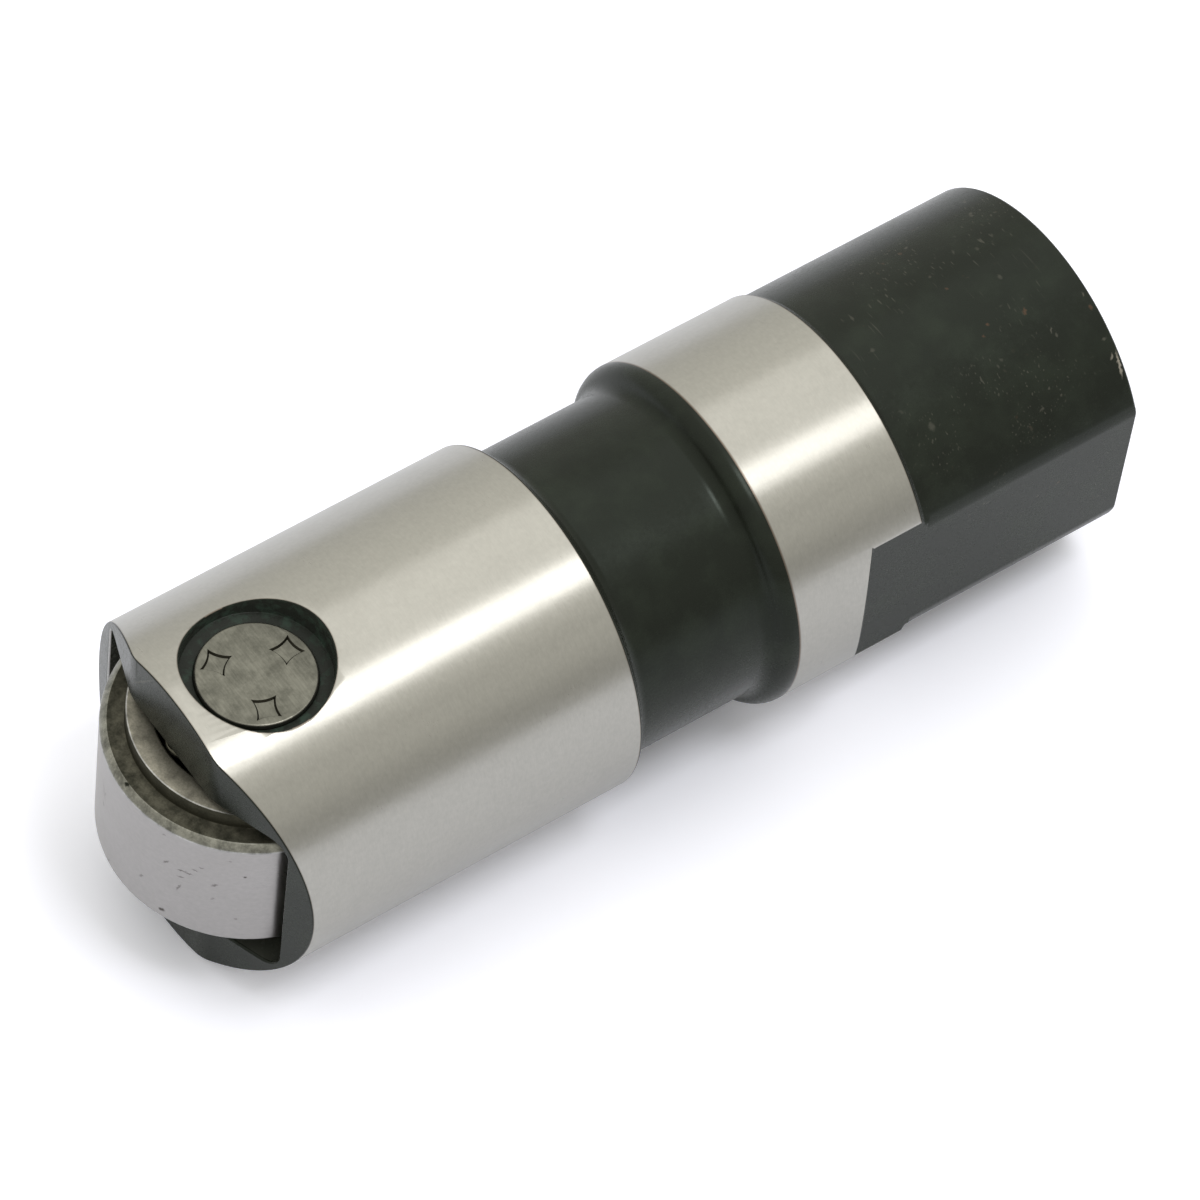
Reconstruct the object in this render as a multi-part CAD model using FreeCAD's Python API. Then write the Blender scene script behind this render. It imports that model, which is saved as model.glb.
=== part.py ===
"""Hydraulic roller valve lifter, in millimetres.

The lifter stands on its open end: the rim lies on z = 0 and +Z runs along the axis to the roller.
The roller's axle lies along Y, and the two milled flats face -X and +X.
"""
import FreeCAD
import Part
import math
import os

V = FreeCAD.Vector
ORIGIN = V(0, 0, 0)
X_AXIS = V(1, 0, 0)
Y_AXIS = V(0, 1, 0)
Z_AXIS = V(0, 0, 1)

# Tappet body, outside
land_radius = 10.70        # both ground lands run in the lifter's guide
relief_step = 0.228        # the black upper end is turned below the land by this much
relief_length = 15.37      # rim to the upper land
upper_land_length = 9.08
waist_length = 10.67       # shoulder and neck, between the two lands
lower_land_length = 24.68  # neck to the ears' tips
neck_depth = 1.15          # below the lands
shoulder_round = 1.15      # outside radius, from the upper land down towards the neck
neck_fillet = 0.95         # inside radius at both ends of the neck; the lower one ends in a chamfer
fillet_steps = 3           # straight cuts that each of these fillets is turned in
open_end_chamfer = 0.15
flat_across = 18.434       # over the two milled flats
flat_length = 18.83
flat_end_slope = 38.0      # degrees that the flats' ends lean away from square

# Ears and roller pocket
axle_setback = 5.42        # ears' tips to the axle's centre
tip_half_width = 4.04      # flat part of the ears' end, each side of the axle's centre
bevel_angle = 20.3         # degrees that the ends fall away outside the flat part
pocket_corner = 1.20
pocket_web = 4.40          # steel between the pocket's floor and the plunger bore

# Roller
roller_radius = 8.42
roller_tread = 8.80        # width of the running surface between its chamfers
rim_chamfer = 0.40
hub_radius = 7.03
hub_rise = 1.12            # the hub stands proud of the rim by this much on each side
roller_gap = 0.36          # around the roller in its pocket
roller_side_play = 0.20    # each side of the hubs
roller_shift = 0.15        # the roller has slid this far along its axle

# Axle and needles
axle_radius = 3.437
axle_recess = 1.449        # axle's end below the land
axle_end_break = 0.15
axle_fit = 0.01            # slip fit in the ears, before staking
counterbore_radius = 4.289
counterbore_depth = 1.78
stake_count = 3
stake_angle = 40.0         # of the first mark, from +X towards +Z
stake_centre = 2.30        # from the axle's centre
stake_half_side = 0.77
stake_depth = 0.16
needle_radius = 1.00
needle_play = 0.04         # to the axle and to the roller's bore
needle_end_play = 0.32     # from the hub's face to the needle's end
needle_sides = 12          # flat sides that stand for each needle's round

# Plunger bore and what lies in it, from the rim inwards
bore_radius = 7.50
mouth_chamfer = 0.60
ring_setback = 2.90        # rim to the retaining ring
ring_thickness = 1.00
ring_width = 1.30          # across the flat of the ring
ring_groove_depth = 0.65
ring_groove_play = 0.05    # each side of the ring and behind it
ring_gap_angle = 48.0      # degrees left open in the ring
seat_clearance = 0.08
seat_length = 5.50
cup_radius = 4.10          # ball socket for the pushrod's end
cup_depth = 3.00
cup_mouth_chamfer = 0.45
push_oil_radius = 0.65
disc_radius = 6.20
disc_thickness = 0.35
disc_recess_play = 0.15
disc_oil_radius = 0.40
plunger_clearance = 0.03
plunger_length = 23.00
plunger_wall = 1.90
plunger_floor = 3.00
oil_groove_depth = 0.40
oil_groove_start = 14.50   # from the plunger's open end
oil_groove_length = 6.90
cross_hole_radius = 1.00
cross_hole_start = 18.00   # from the plunger's open end
feed_hole_radius = 1.20
feed_hole_from_land = 5.05  # upper land's end to the oil feed hole in the neck

# Check valve and return spring, beyond the plunger's floor
port_radius = 1.15
ball_radius = 1.60
ball_play = 0.02
cage_radius = 2.70         # outside of the cage's dome
cage_height = 4.35
cage_sheet = 0.35
cage_flange_radius = 6.35
cage_windows = 3
cage_window_width = 1.70
cage_window_height = 2.20
check_wire_radius = 0.12
check_coil_radius = 0.95
check_turns = 2.5
return_wire_radius = 0.50
return_coil_radius = 5.65
return_turns = 3.5
spring_steps = 20          # straight lengths that a turn of a spring is drawn with

# Places along the axis, worked out from the sizes above
upper_land_start = relief_length
upper_land_end = upper_land_start + upper_land_length
lower_land_start = upper_land_end + waist_length
ear_tip = lower_land_start + lower_land_length
axle_height = ear_tip - axle_setback
pocket_half_length = roller_radius + roller_gap
hub_half_width = roller_tread / 2 + rim_chamfer + hub_rise
pocket_half_width = hub_half_width + roller_side_play
bore_end = axle_height - pocket_half_length - pocket_web
seat_start = ring_setback + ring_thickness + ring_groove_play
plunger_start = seat_start + seat_length
plunger_end = plunger_start + plunger_length
relief_radius = land_radius - relief_step
neck_radius = land_radius - neck_depth
ball_height = plunger_end + math.sqrt(ball_radius ** 2 - port_radius ** 2) + ball_play


def on_xz(point):
    """Place a profile's (radius, height) in the XZ plane, for turning about Z."""
    return V(point[0], 0, point[1])


def on_xy(point):
    """Place a profile's (radius, width) in the XY plane, for turning about Y."""
    return V(point[0], point[1], 0)


def face_along(place, start, *steps):
    """A face inside the line from start, drawn back to start if the last step doesn't end there.

    A step (a, b) is a straight line to that point, and (via, to) is an arc through via.
    """
    if start not in steps[-1]:
        steps += (start,)
    edges = []
    here = start
    for step in steps:
        if isinstance(step[0], tuple):
            via, there = step
            edges.append(Part.Arc(place(here), place(via), place(there)).toShape())
        else:
            there = step
            edges.append(Part.LineSegment(place(here), place(there)).toShape())
        here = there
    return Part.Face(Part.Wire(edges))


def turned(axis, place, start, *steps):
    """The solid that a profile sweeps in a full turn about an axis."""
    return face_along(place, start, *steps).revolve(ORIGIN, axis, 360)


def mirrored_over_y(half):
    """A half that starts on the XZ plane, joined to its mirror image."""
    return half.fuse(half.mirror(ORIGIN, Y_AXIS)).removeSplitter()


def around_axle(shape):
    """Move what was made about the Y axis up to the axle's height."""
    return shape.translated(V(0, 0, axle_height))


def shoulder_steps():
    """From the upper land over the shoulder's round and through the neck's fillet, which meet at a tangent."""
    sweep = math.acos(1 - neck_depth / (shoulder_round + neck_fillet))
    shoulder_end = upper_land_end + (shoulder_round + neck_fillet) * math.sin(sweep)

    def on_round(angle):
        """A point of the shoulder's round, by its angle from the radial direction."""
        return (land_radius - shoulder_round * (1 - math.cos(angle)),
                upper_land_end + shoulder_round * math.sin(angle))

    def on_fillet(angle):
        """A point of the fillet between the shoulder and the neck, by its angle from the radial direction."""
        return (neck_radius + neck_fillet * (1 - math.cos(angle)),
                shoulder_end - neck_fillet * math.sin(angle))

    cuts = [on_fillet(sweep * step / fillet_steps) for step in range(fillet_steps - 1, -1, -1)]
    return ((on_round(sweep / 2), on_round(sweep)), *cuts)


def lower_land_steps():
    """From the neck through its fillet and over the lower land's chamfer to the ears' tips."""

    def on_fillet(angle):
        """A point of the fillet between the neck and the lower land, by its angle from the radial direction."""
        return (neck_radius + neck_fillet * (1 - math.cos(angle)),
                lower_land_start - neck_fillet * (1 - math.sin(angle)))

    cuts = [on_fillet(math.pi / 2 * step / fillet_steps) for step in range(fillet_steps + 1)]
    return (*cuts,
            (land_radius, lower_land_start + neck_depth - neck_fillet),
            (land_radius, ear_tip),
            (0, ear_tip))


def bore_steps():
    """From the bore's closed end past the ring's groove to the mouth's chamfer."""
    groove_radius = bore_radius + ring_groove_depth
    groove_start = ring_setback - ring_groove_play
    groove_end = ring_setback + ring_thickness + ring_groove_play
    return ((0, bore_end),
            (bore_radius, bore_end),
            (bore_radius, groove_end),
            (groove_radius, groove_end),
            (groove_radius, groove_start),
            (bore_radius, groove_start),
            (bore_radius, mouth_chamfer))


def flat_cutter(side):
    """What the mill takes off one side of the upper end. side is -1 or 1."""
    reach = 2 * land_radius
    near = flat_across / 2
    lean = reach * math.tan(math.radians(flat_end_slope))
    outline = face_along(on_xz, (near, -reach), (near + reach, -reach), (near + reach, flat_length + lean),
                         (near, flat_length))
    block = outline.extrude(V(0, 4 * land_radius, 0)).translated(V(0, -2 * land_radius, 0))
    if side < 0:
        block = block.mirror(ORIGIN, X_AXIS)
    return block


def bevel_cutter(side):
    """What the mill takes off one side of the ears' ends. side is -1 or 1."""
    reach = 2 * land_radius
    fall = reach * math.tan(math.radians(bevel_angle))
    wedge = face_along(on_xz, (tip_half_width, ear_tip), (tip_half_width + reach, ear_tip - fall),
                       (tip_half_width + reach, ear_tip + fall), (tip_half_width, ear_tip + fall))
    block = wedge.extrude(V(0, 4 * land_radius, 0)).translated(V(0, -2 * land_radius, 0))
    if side < 0:
        block = block.mirror(ORIGIN, X_AXIS)
    return block


def pocket_cutter():
    """The closed pocket: rounded corners in plan, and a half-round floor along the axle."""
    length = 2 * pocket_half_length
    width = 2 * pocket_half_width
    slot = Part.makeBox(length, width, length + axle_setback,
                        V(-pocket_half_length, -pocket_half_width, -pocket_half_length))
    corners = [edge for edge in slot.Edges if abs(edge.tangentAt(edge.FirstParameter).z) > 0.99]
    slot = slot.makeFillet(pocket_corner, corners)
    half_round = Part.makeCylinder(pocket_half_length, width, V(0, -pocket_half_width, 0), Y_AXIS)
    above = Part.makeBox(length, width, length + axle_setback,
                         V(-pocket_half_length, -pocket_half_width, 0))
    return around_axle(slot.common(half_round.fuse(above)))


def axle_hole_cutter():
    """The axle's hole through both ears, with a counterbore at each end."""
    half_length = 2 * land_radius
    hole = Part.makeCylinder(axle_radius + axle_fit, 2 * half_length, V(0, -half_length, 0), Y_AXIS)
    floor = land_radius - counterbore_depth
    for direction in (1, -1):
        start = V(0, direction * floor, 0)
        hole = hole.fuse(Part.makeCylinder(counterbore_radius, half_length, start, Y_AXIS * direction))
    return around_axle(hole)


def feed_hole_cutter():
    """The oil feed hole through the neck, on the +Y side."""
    height = upper_land_end + feed_hole_from_land
    return Part.makeCylinder(feed_hole_radius, land_radius, V(0, bore_radius / 2, height), Y_AXIS)


def tappet_body():
    """Turned and bored blank, then milled flats, bevels, pocket, axle holes and oil hole."""
    steps = ((relief_radius - open_end_chamfer, 0),
             (relief_radius, open_end_chamfer),
             (relief_radius, upper_land_start - relief_step),
             (land_radius, upper_land_start),
             (land_radius, upper_land_end))
    start = (bore_radius + mouth_chamfer, 0)
    body = turned(Z_AXIS, on_xz, start, *steps, *shoulder_steps(), *lower_land_steps(), *bore_steps())
    for side in (-1, 1):
        body = body.cut(flat_cutter(side))
        body = body.cut(bevel_cutter(side))
    body = body.cut(pocket_cutter())
    body = body.cut(axle_hole_cutter())
    return body.cut(feed_hole_cutter())


def roller():
    """The roller: chamfered rims, recessed sides and raised hubs, bored for the needles."""
    bore = axle_radius + 2 * needle_radius + 2 * needle_play
    rim = roller_tread / 2 + rim_chamfer
    half = turned(Y_AXIS, on_xy, (bore, 0), (roller_radius, 0),
                  (roller_radius, roller_tread / 2),
                  (roller_radius - rim_chamfer, rim),
                  (hub_radius, rim),
                  (hub_radius, hub_half_width),
                  (bore, hub_half_width))
    return around_axle(mirrored_over_y(half)).translated(V(0, roller_shift, 0))


def stake_cutter(index):
    """One stake mark on the +Y end: a square punched into the axle's end."""
    side = 2 * stake_half_side
    block = Part.makeBox(side, stake_depth, side, V(stake_centre - stake_half_side, 0, -stake_half_side))
    block.rotate(ORIGIN, Y_AXIS, -(stake_angle + index * 360 / stake_count))
    return block


def roller_axle():
    """The axle: broken edges, and stake marks that spread each end in its hole."""
    half_length = land_radius - axle_recess
    half = turned(Y_AXIS, on_xy, (0, 0), (axle_radius, 0), (axle_radius, half_length - axle_end_break),
                  (axle_radius - axle_end_break, half_length), (0, half_length))
    for index in range(stake_count):
        half = half.cut(stake_cutter(index).translated(V(0, half_length - stake_depth, 0)))
    return around_axle(mirrored_over_y(half))


def needle_pitch_radius():
    """Axle's centre to a needle's centre."""
    return axle_radius + needle_play + needle_radius


def needle_count():
    """As many needles as the ring between the axle and the roller holds."""
    step = 2 * math.asin((needle_radius + needle_play / 2) / needle_pitch_radius())
    return int(2 * math.pi / step)


def needle(angle):
    """One needle at its place around the axle."""
    half_length = hub_half_width - needle_end_play
    pitch = needle_pitch_radius()
    centre = V(pitch * math.cos(angle), roller_shift - half_length, pitch * math.sin(angle))
    corners = []
    for index in range(needle_sides + 1):
        turn = angle + 2 * math.pi * index / needle_sides
        corners.append(centre + V(needle_radius * math.cos(turn), 0, needle_radius * math.sin(turn)))
    outline = Part.Face(Part.makePolygon(corners))
    return around_axle(outline.extrude(V(0, 2 * half_length, 0)))


def pushrod_seat():
    """The cup that takes the pushrod: ball socket outside, disc recess and oil hole behind."""
    radius = bore_radius - seat_clearance
    mouth = math.sqrt(cup_radius ** 2 - (cup_radius - cup_depth) ** 2)
    recess_floor = plunger_start - disc_thickness - disc_recess_play
    recess_radius = disc_radius + disc_recess_play
    blank = turned(Z_AXIS, on_xz, (0, seat_start), (radius, seat_start), (radius, plunger_start),
                   (recess_radius, plunger_start), (recess_radius, recess_floor), (0, recess_floor))
    lead_in_depth = cup_depth / 2
    lead_in_radius = mouth + cup_mouth_chamfer
    lead_in = Part.makeCone(lead_in_radius, lead_in_radius - lead_in_depth, lead_in_depth,
                            V(0, 0, seat_start))
    ball = Part.makeSphere(cup_radius, V(0, 0, seat_start + cup_depth - cup_radius))
    oil = Part.makeCylinder(push_oil_radius, plunger_length, V(0, 0, seat_start))
    return blank.cut(ball.fuse(lead_in)).cut(oil)


def metering_disc():
    """A thin disc with a fine hole, lying in the cup's recess."""
    height = plunger_start - disc_thickness - disc_recess_play
    disc = Part.makeCylinder(disc_radius, disc_thickness, V(0, 0, height))
    return disc.cut(Part.makeCylinder(disc_oil_radius, disc_thickness, V(0, 0, height)))


def plunger():
    """The hollow plunger: oil groove, cross holes, and a floor with the check port."""
    radius = bore_radius - plunger_clearance
    inside = radius - plunger_wall
    groove = radius - oil_groove_depth
    groove_start = plunger_start + oil_groove_start
    groove_end = groove_start + oil_groove_length
    floor_start = plunger_end - plunger_floor
    body = turned(Z_AXIS, on_xz, (inside, plunger_start), (radius, plunger_start),
                  (radius, groove_start), (groove, groove_start), (groove, groove_end), (radius, groove_end),
                  (radius, plunger_end), (port_radius, plunger_end), (port_radius, floor_start),
                  (inside, floor_start))
    hole = Part.makeCylinder(cross_hole_radius, 2 * land_radius,
                             V(-land_radius, 0, plunger_start + cross_hole_start), X_AXIS)
    return body.cut(hole)


def check_cage():
    """The pressed cage: a flange under the return spring and a windowed dome over the ball."""
    inside = cage_radius - cage_sheet
    top = plunger_end + cage_height
    cage = turned(Z_AXIS, on_xz, (inside, plunger_end), (cage_flange_radius, plunger_end),
                  (cage_flange_radius, plunger_end + cage_sheet), (cage_radius, plunger_end + cage_sheet),
                  (cage_radius, top - cage_sheet), (inside, top), (0, top),
                  (0, top - cage_sheet), (inside, top - cage_sheet))
    for index in range(cage_windows):
        window = Part.makeBox(2 * cage_radius, cage_window_width, cage_window_height)
        window.translate(V(0, -cage_window_width / 2, plunger_end + (cage_height - cage_window_height) / 2))
        window.rotate(ORIGIN, Z_AXIS, index * 360 / cage_windows)
        cage = cage.cut(window)
    return cage


def coil(coil_radius, wire_radius, turns, low, high):
    """A wire spring between two heights, its ends ground flat.

    To keep its faces few, the wire is drawn square and in short straight lengths.
    """
    half = wire_radius * math.sqrt(0.5)
    corners = [V(coil_radius + a, 0, low + b)
               for a, b in ((half, half), (-half, half), (-half, -half), (half, -half), (half, half))]
    sections = []
    for step in range(round(turns * spring_steps) + 1):
        section = Part.makePolygon(corners)
        section.rotate(ORIGIN, Z_AXIS, 360 * step / spring_steps)
        section.translate(V(0, 0, (high - low) * step / (turns * spring_steps)))
        sections.append(section)
    size = 4 * coil_radius
    keep = Part.makeBox(size, size, high - low, V(-size / 2, -size / 2, low))
    return Part.makeLoft(sections, True, True).common(keep)


def check_spring():
    """The small spring between the ball and the top of its cage."""
    on_ball = ball_height + math.sqrt(ball_radius ** 2 - check_coil_radius ** 2) + check_wire_radius
    cage_top = plunger_end + cage_height - cage_sheet
    return coil(check_coil_radius, check_wire_radius, check_turns, on_ball, cage_top)


def return_spring():
    """The spring in the pressure chamber, from the cage's flange to the bore's end."""
    return coil(return_coil_radius, return_wire_radius, return_turns, plunger_end + cage_sheet, bore_end)


def retaining_ring():
    """The open ring, sprung into its groove."""
    outside = bore_radius + ring_groove_depth - ring_groove_play
    inside = outside - ring_width
    section = face_along(on_xz, (inside, ring_setback), (outside, ring_setback),
                         (outside, ring_setback + ring_thickness), (inside, ring_setback + ring_thickness))
    ring = section.revolve(ORIGIN, Z_AXIS, 360 - ring_gap_angle)
    ring.rotate(ORIGIN, Z_AXIS, 90 + ring_gap_angle / 2)
    return ring


def main():
    """Build every piece and write each to its own file."""
    pieces = {
        "tappet_body": tappet_body(),
        "roller": roller(),
        "roller_axle": roller_axle(),
        "pushrod_seat": pushrod_seat(),
        "metering_disc": metering_disc(),
        "plunger": plunger(),
        "check_ball": Part.makeSphere(ball_radius, V(0, 0, ball_height)),
        "check_spring": check_spring(),
        "check_cage": check_cage(),
        "return_spring": return_spring(),
        "retaining_ring": retaining_ring(),
    }
    count = needle_count()
    for index in range(count):
        pieces["needle_%02d" % (index + 1)] = needle(2 * math.pi * index / count)
    os.makedirs("parts", exist_ok=True)
    for name, shape in pieces.items():
        print(name, "valid" if shape.isValid() else "INVALID", len(shape.Solids), "solid",
              round(shape.Volume, 2), "mm3")
        shape.exportStep("parts/" + name + ".step")


main()
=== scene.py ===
"""Looks of a hydraulic roller valve lifter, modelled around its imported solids, in metres.

The lifter stands on its open rim at z = 0 with its axis along +Z, and its roller's axle lies along Y.
In the photograph it lies on a white table, so the table is a sheet behind it, at its +Y side.
"""
import math
from functools import partial

import bpy
from bpy.props import FloatProperty, FloatVectorProperty, IntProperty, PointerProperty
from mathutils import Matrix, Vector


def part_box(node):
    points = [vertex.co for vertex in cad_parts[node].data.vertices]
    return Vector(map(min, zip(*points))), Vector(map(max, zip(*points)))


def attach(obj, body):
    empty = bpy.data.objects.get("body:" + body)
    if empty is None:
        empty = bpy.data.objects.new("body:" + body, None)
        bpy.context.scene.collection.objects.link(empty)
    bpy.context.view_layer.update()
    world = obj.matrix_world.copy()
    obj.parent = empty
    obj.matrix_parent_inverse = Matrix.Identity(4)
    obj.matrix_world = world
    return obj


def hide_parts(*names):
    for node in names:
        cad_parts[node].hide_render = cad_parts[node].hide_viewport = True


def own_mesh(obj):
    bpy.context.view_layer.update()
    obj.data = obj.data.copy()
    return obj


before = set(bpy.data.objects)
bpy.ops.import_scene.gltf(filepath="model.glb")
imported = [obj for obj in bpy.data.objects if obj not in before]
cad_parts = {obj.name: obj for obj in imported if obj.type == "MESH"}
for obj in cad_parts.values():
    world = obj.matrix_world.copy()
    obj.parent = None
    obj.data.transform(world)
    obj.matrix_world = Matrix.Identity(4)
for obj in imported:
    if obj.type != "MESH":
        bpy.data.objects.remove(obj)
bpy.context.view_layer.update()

bl_info = {
    "name": "Roller valve lifter",
    "version": (1, 0, 0),
    "blender": (4, 5, 0),
    "location": "View3D > Sidebar > Lifter",
    "description": "Models and finishes a hydraulic roller valve lifter piece by piece",
    "category": "Object",
}

MM = 0.001

# Facets in one turn of the axle, of a needle and of a spring's wire
AXLE_TURNS = 96
NEEDLE_TURNS = 32
WIRE_TURNS = 12
# Straight steps in the retaining ring, in half a coil of a spring, and in each round of the body's outline
RING_STEPS = 96
COIL_STEPS = 20
ROUND_STEPS = 8
# Edges sharper than this many degrees are the ones that get rounded, or stay sharp under the light
SHARP = 28.0
# Corners closer together than this are one corner
SEAM = 0.002 * MM


def linear(code):
    """A colour's sRGB hex value as the linear red, green, blue and alpha that Blender works in."""
    channels = [int(code[place:place + 2], 16) / 255 for place in (1, 3, 5)]
    return [part / 12.92 if part <= 0.04045 else ((part + 0.055) / 1.055) ** 2.4 for part in channels] + [1.0]


def length(name, description, millimetres):
    """A length that the user may change, in the sidebar's units."""
    return FloatProperty(name=name, description=description, default=millimetres * MM, min=0.0,
                         unit="LENGTH", precision=5)


def colour(name, description, code):
    """A colour that the user may change."""
    return FloatVectorProperty(name=name, description=description, default=linear(code), size=4,
                               min=0.0, max=1.0, subtype="COLOR")


class LifterSizes(bpy.types.PropertyGroup):
    """Sizes of the lifter's pieces: its solids' own, and the small rounds that only the looks have."""
    turns: IntProperty(name="Segments", description="Straight facets in one turn of a large round",
                       default=160, min=24)
    land_radius: length("Land radius", "Radius of both ground lands", 10.70)
    relief_radius: length("Relief radius", "Radius of the black open end", 10.472)
    neck_radius: length("Neck radius", "Radius of the black neck", 9.55)
    land_start: length("Upper land start", "Rim to the upper land", 15.37)
    land_end: length("Upper land end", "Rim to the shoulder", 24.45)
    lower_start: length("Lower land start", "Rim to the lower land", 35.12)
    ear_tip: length("Ear tip", "Rim to the ears' tips", 59.80)
    shoulder_round: length("Shoulder round", "Outside radius, from the upper land towards the neck", 1.15)
    neck_fillet: length("Neck fillet", "Inside radius at each end of the neck", 0.95)
    rim_chamfer: length("Rim chamfer", "Outside chamfer of the open end", 0.15)
    flat_half: length("Half flats", "Axis to each milled flat", 9.217)
    flat_length: length("Flat length", "Rim to the flats' ends", 18.83)
    flat_end_slope: FloatProperty(name="Flat end slope", description="Lean of the flats' ends",
                                  default=math.radians(38.0), subtype="ANGLE")
    tip_half: length("Half tip", "Flat part of an ear's end, each side of the axle", 4.04)
    bevel_angle: FloatProperty(name="Bevel angle", description="Fall of the ears' ends outside the flat part",
                               default=math.radians(20.3), subtype="ANGLE")
    bevel_blend: length("Bevel blend", "Half the soft width between an ear's flat part and its fall", 0.50)
    edge_break: length("Edge break", "Rounding that tumbling left on the milled edges", 0.07)
    pocket_break: length("Pocket edge break", "Rounding along the pocket's mouth", 0.15)
    flat_break: length("Flat edge break", "Half the soft width along the flats' sides", 0.60)
    axle_height: length("Axle height", "Rim to the axle's centre", 54.38)
    pocket_half_length: length("Half pocket length", "Half its length along X, and its floor's radius", 8.78)
    pocket_half_width: length("Half pocket width", "Pocket's half width along the axle", 6.12)
    pocket_corner: length("Pocket corner", "Radius of the pocket's corners in plan", 1.20)
    bore_radius: length("Bore radius", "Plunger bore", 7.50)
    bore_end: length("Bore end", "Rim to the bore's closed end", 41.20)
    mouth_chamfer: length("Mouth chamfer", "At the bore's mouth", 0.60)
    ring_start: length("Ring start", "Rim to the retaining ring", 2.90)
    ring_thickness: length("Ring thickness", "Along the lifter's axis", 1.00)
    ring_inside: length("Ring inside", "Inner radius of the retaining ring", 6.80)
    ring_outside: length("Ring outside", "Outer radius of the retaining ring", 8.10)
    groove_radius: length("Groove radius", "Bottom of the ring's groove", 8.15)
    feed_hole_radius: length("Feed hole", "Radius of the oil feed hole", 1.20)
    feed_hole_height: length("Feed hole height", "Rim to the oil feed hole", 29.50)
    counterbore_radius: length("Counterbore radius", "Round each end of the axle", 4.289)
    counterbore_bottom: length("Counterbore bottom", "Rim to just under the counterbores", 49.80)
    counterbore_floor: length("Counterbore floor", "Axis to the counterbores' floors", 8.92)
    axle_radius: length("Axle radius", "Axle in the ears", 3.437)
    axle_half: length("Half axle", "Half the axle's length", 9.251)
    axle_break: length("Axle edge", "Rounding of the axle's ends", 0.15)
    stake_centre: length("Stake centre", "Axle's centre to a stake mark's centre", 2.30)
    stake_half: length("Stake half side", "Half the side of a stake mark", 0.77)
    stake_hollow: length("Stake hollow", "How far a mark's sides curve in", 0.17)
    stake_depth: length("Stake depth", "Depth of a stake mark", 0.13)
    needle_radius: length("Needle radius", "Of each needle roller", 1.00)
    roller_radius: length("Roller radius", "Running surface", 8.42)
    roller_half: length("Half tread", "Half the running surface's width", 4.40)
    roller_chamfer: length("Roller chamfer", "Along both rims", 0.40)
    hub_radius: length("Hub radius", "Raised hub of the roller", 7.03)
    hub_half: length("Half hub", "Half the roller's width over its hubs", 5.92)
    roller_bore: length("Roller bore", "Track of the needles", 5.517)
    roller_shift: length("Roller shift", "How far the roller has slid along its axle", 0.15)
    seat_radius: length("Cup outside", "Radius of the pushrod cup's body", 7.42)
    seat_start: length("Cup start", "Rim to the pushrod cup", 3.95)
    seat_end: length("Cup end", "Rim to the plunger", 9.45)
    cup_radius: length("Cup radius", "Ball radius of the pushrod cup", 4.10)
    cup_depth: length("Cup depth", "Depth of the ball socket", 3.00)
    cup_chamfer: length("Cup chamfer", "At the ball socket's mouth", 0.72)
    oil_radius: length("Cup oil hole", "Oil hole through the cup", 0.65)
    disc_radius: length("Disc recess", "Radius of the metering disc's recess", 6.35)
    disc_floor: length("Disc floor", "Rim to the floor of the disc's recess", 8.95)
    return_coil_radius: length("Return spring", "Axis to the middle of the return spring's wire", 5.65)
    return_wire_radius: length("Return spring's wire", "Radius of the wire", 0.50)
    check_coil_radius: length("Check spring", "Axis to the middle of the check spring's wire", 0.95)
    check_wire_radius: length("Check spring's wire", "Radius of the wire", 0.12)


class LifterColours(bpy.types.PropertyGroup):
    """Colours of the lifter's finishes."""
    ground: colour("Ground steel", "Centreless-ground lands", "#B0AEA8")
    tread: colour("Tread", "Ground running surface of the roller", "#ACA9A8")
    black: colour("Black oxide", "Oxide on the turned and milled steel", "#1B1D18")
    black_light: colour("Black oxide, thin", "Where the oxide is thin", "#232720")
    black_sheen: colour("Black oxide sheen", "Tint of what the oxide mirrors", "#D6E4DA")
    # Painted light: the pocket's oxide is greyer than the outside's, so that the deep shade in the pocket is
    # less black
    pocket: colour("Pocket oxide", "Dull oxide on the pocket's walls", "#3F413C")
    pocket_light: colour("Pocket oxide, thin", "Where the pocket's oxide is thin", "#4C4D46")
    oily: colour("Oily black", "Counterbores, under a film of oil", "#292C28")
    verdigris: colour("Oil stain", "Greenish stains in the oil", "#35423A")
    border: colour("Oxide border", "Brown line where grinding cut the oxide away", "#5A4638")
    bare: colour("Bare scuff", "Steel that shows through scuffed oxide", "#9B958A")
    fleck: colour("Brown fleck", "Rust-brown flecks in the oxide", "#6E4E3C")
    # Partly wear and partly a painted highlight: the thin bright lines along the pocket's mouth and the
    # roller's edges
    edge: colour("Worn edge", "Edges rubbed bright", "#B9B8B6")
    axle: colour("Axle steel", "Ends of the staked axle", "#78776E")
    # Partly wear and partly a painted highlight: the pale line along the axle's rounded ends
    axle_rim: colour("Axle rim", "Rounded edge of the axle's ends", "#8F8D84")
    # Painted shade: the dark sides of the stake marks' pits
    stake: colour("Stake wall", "Sides of the stake marks", "#3C3A32")
    recess: colour("Oiled recess", "Turned sides of the roller under old oil", "#615F54")
    soot: colour("Old oil", "Dried oil on the roller's sides", "#1F211B")
    hub: colour("Hub steel", "Faces of the roller's hubs", "#A29E92")
    # Painted shade: a dark band on the hubs' round sides
    hub_wall_shade: colour("Hub wall", "Round sides of the roller's hubs", "#4C4A3E")
    chamfer: colour("Scuffed chamfer", "Rims of the roller", "#9E9D94")
    pit: colour("Pit", "Pits and dents in the ground steel", "#3A332C")
    inner: colour("Inner steel", "Hardened pieces inside the bore", "#8E8E8A")
    spring: colour("Spring steel", "Oil-tempered wire", "#4A4A4C")
    table: colour("Table", "White table and backdrop", "#ECEEF8")


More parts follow.
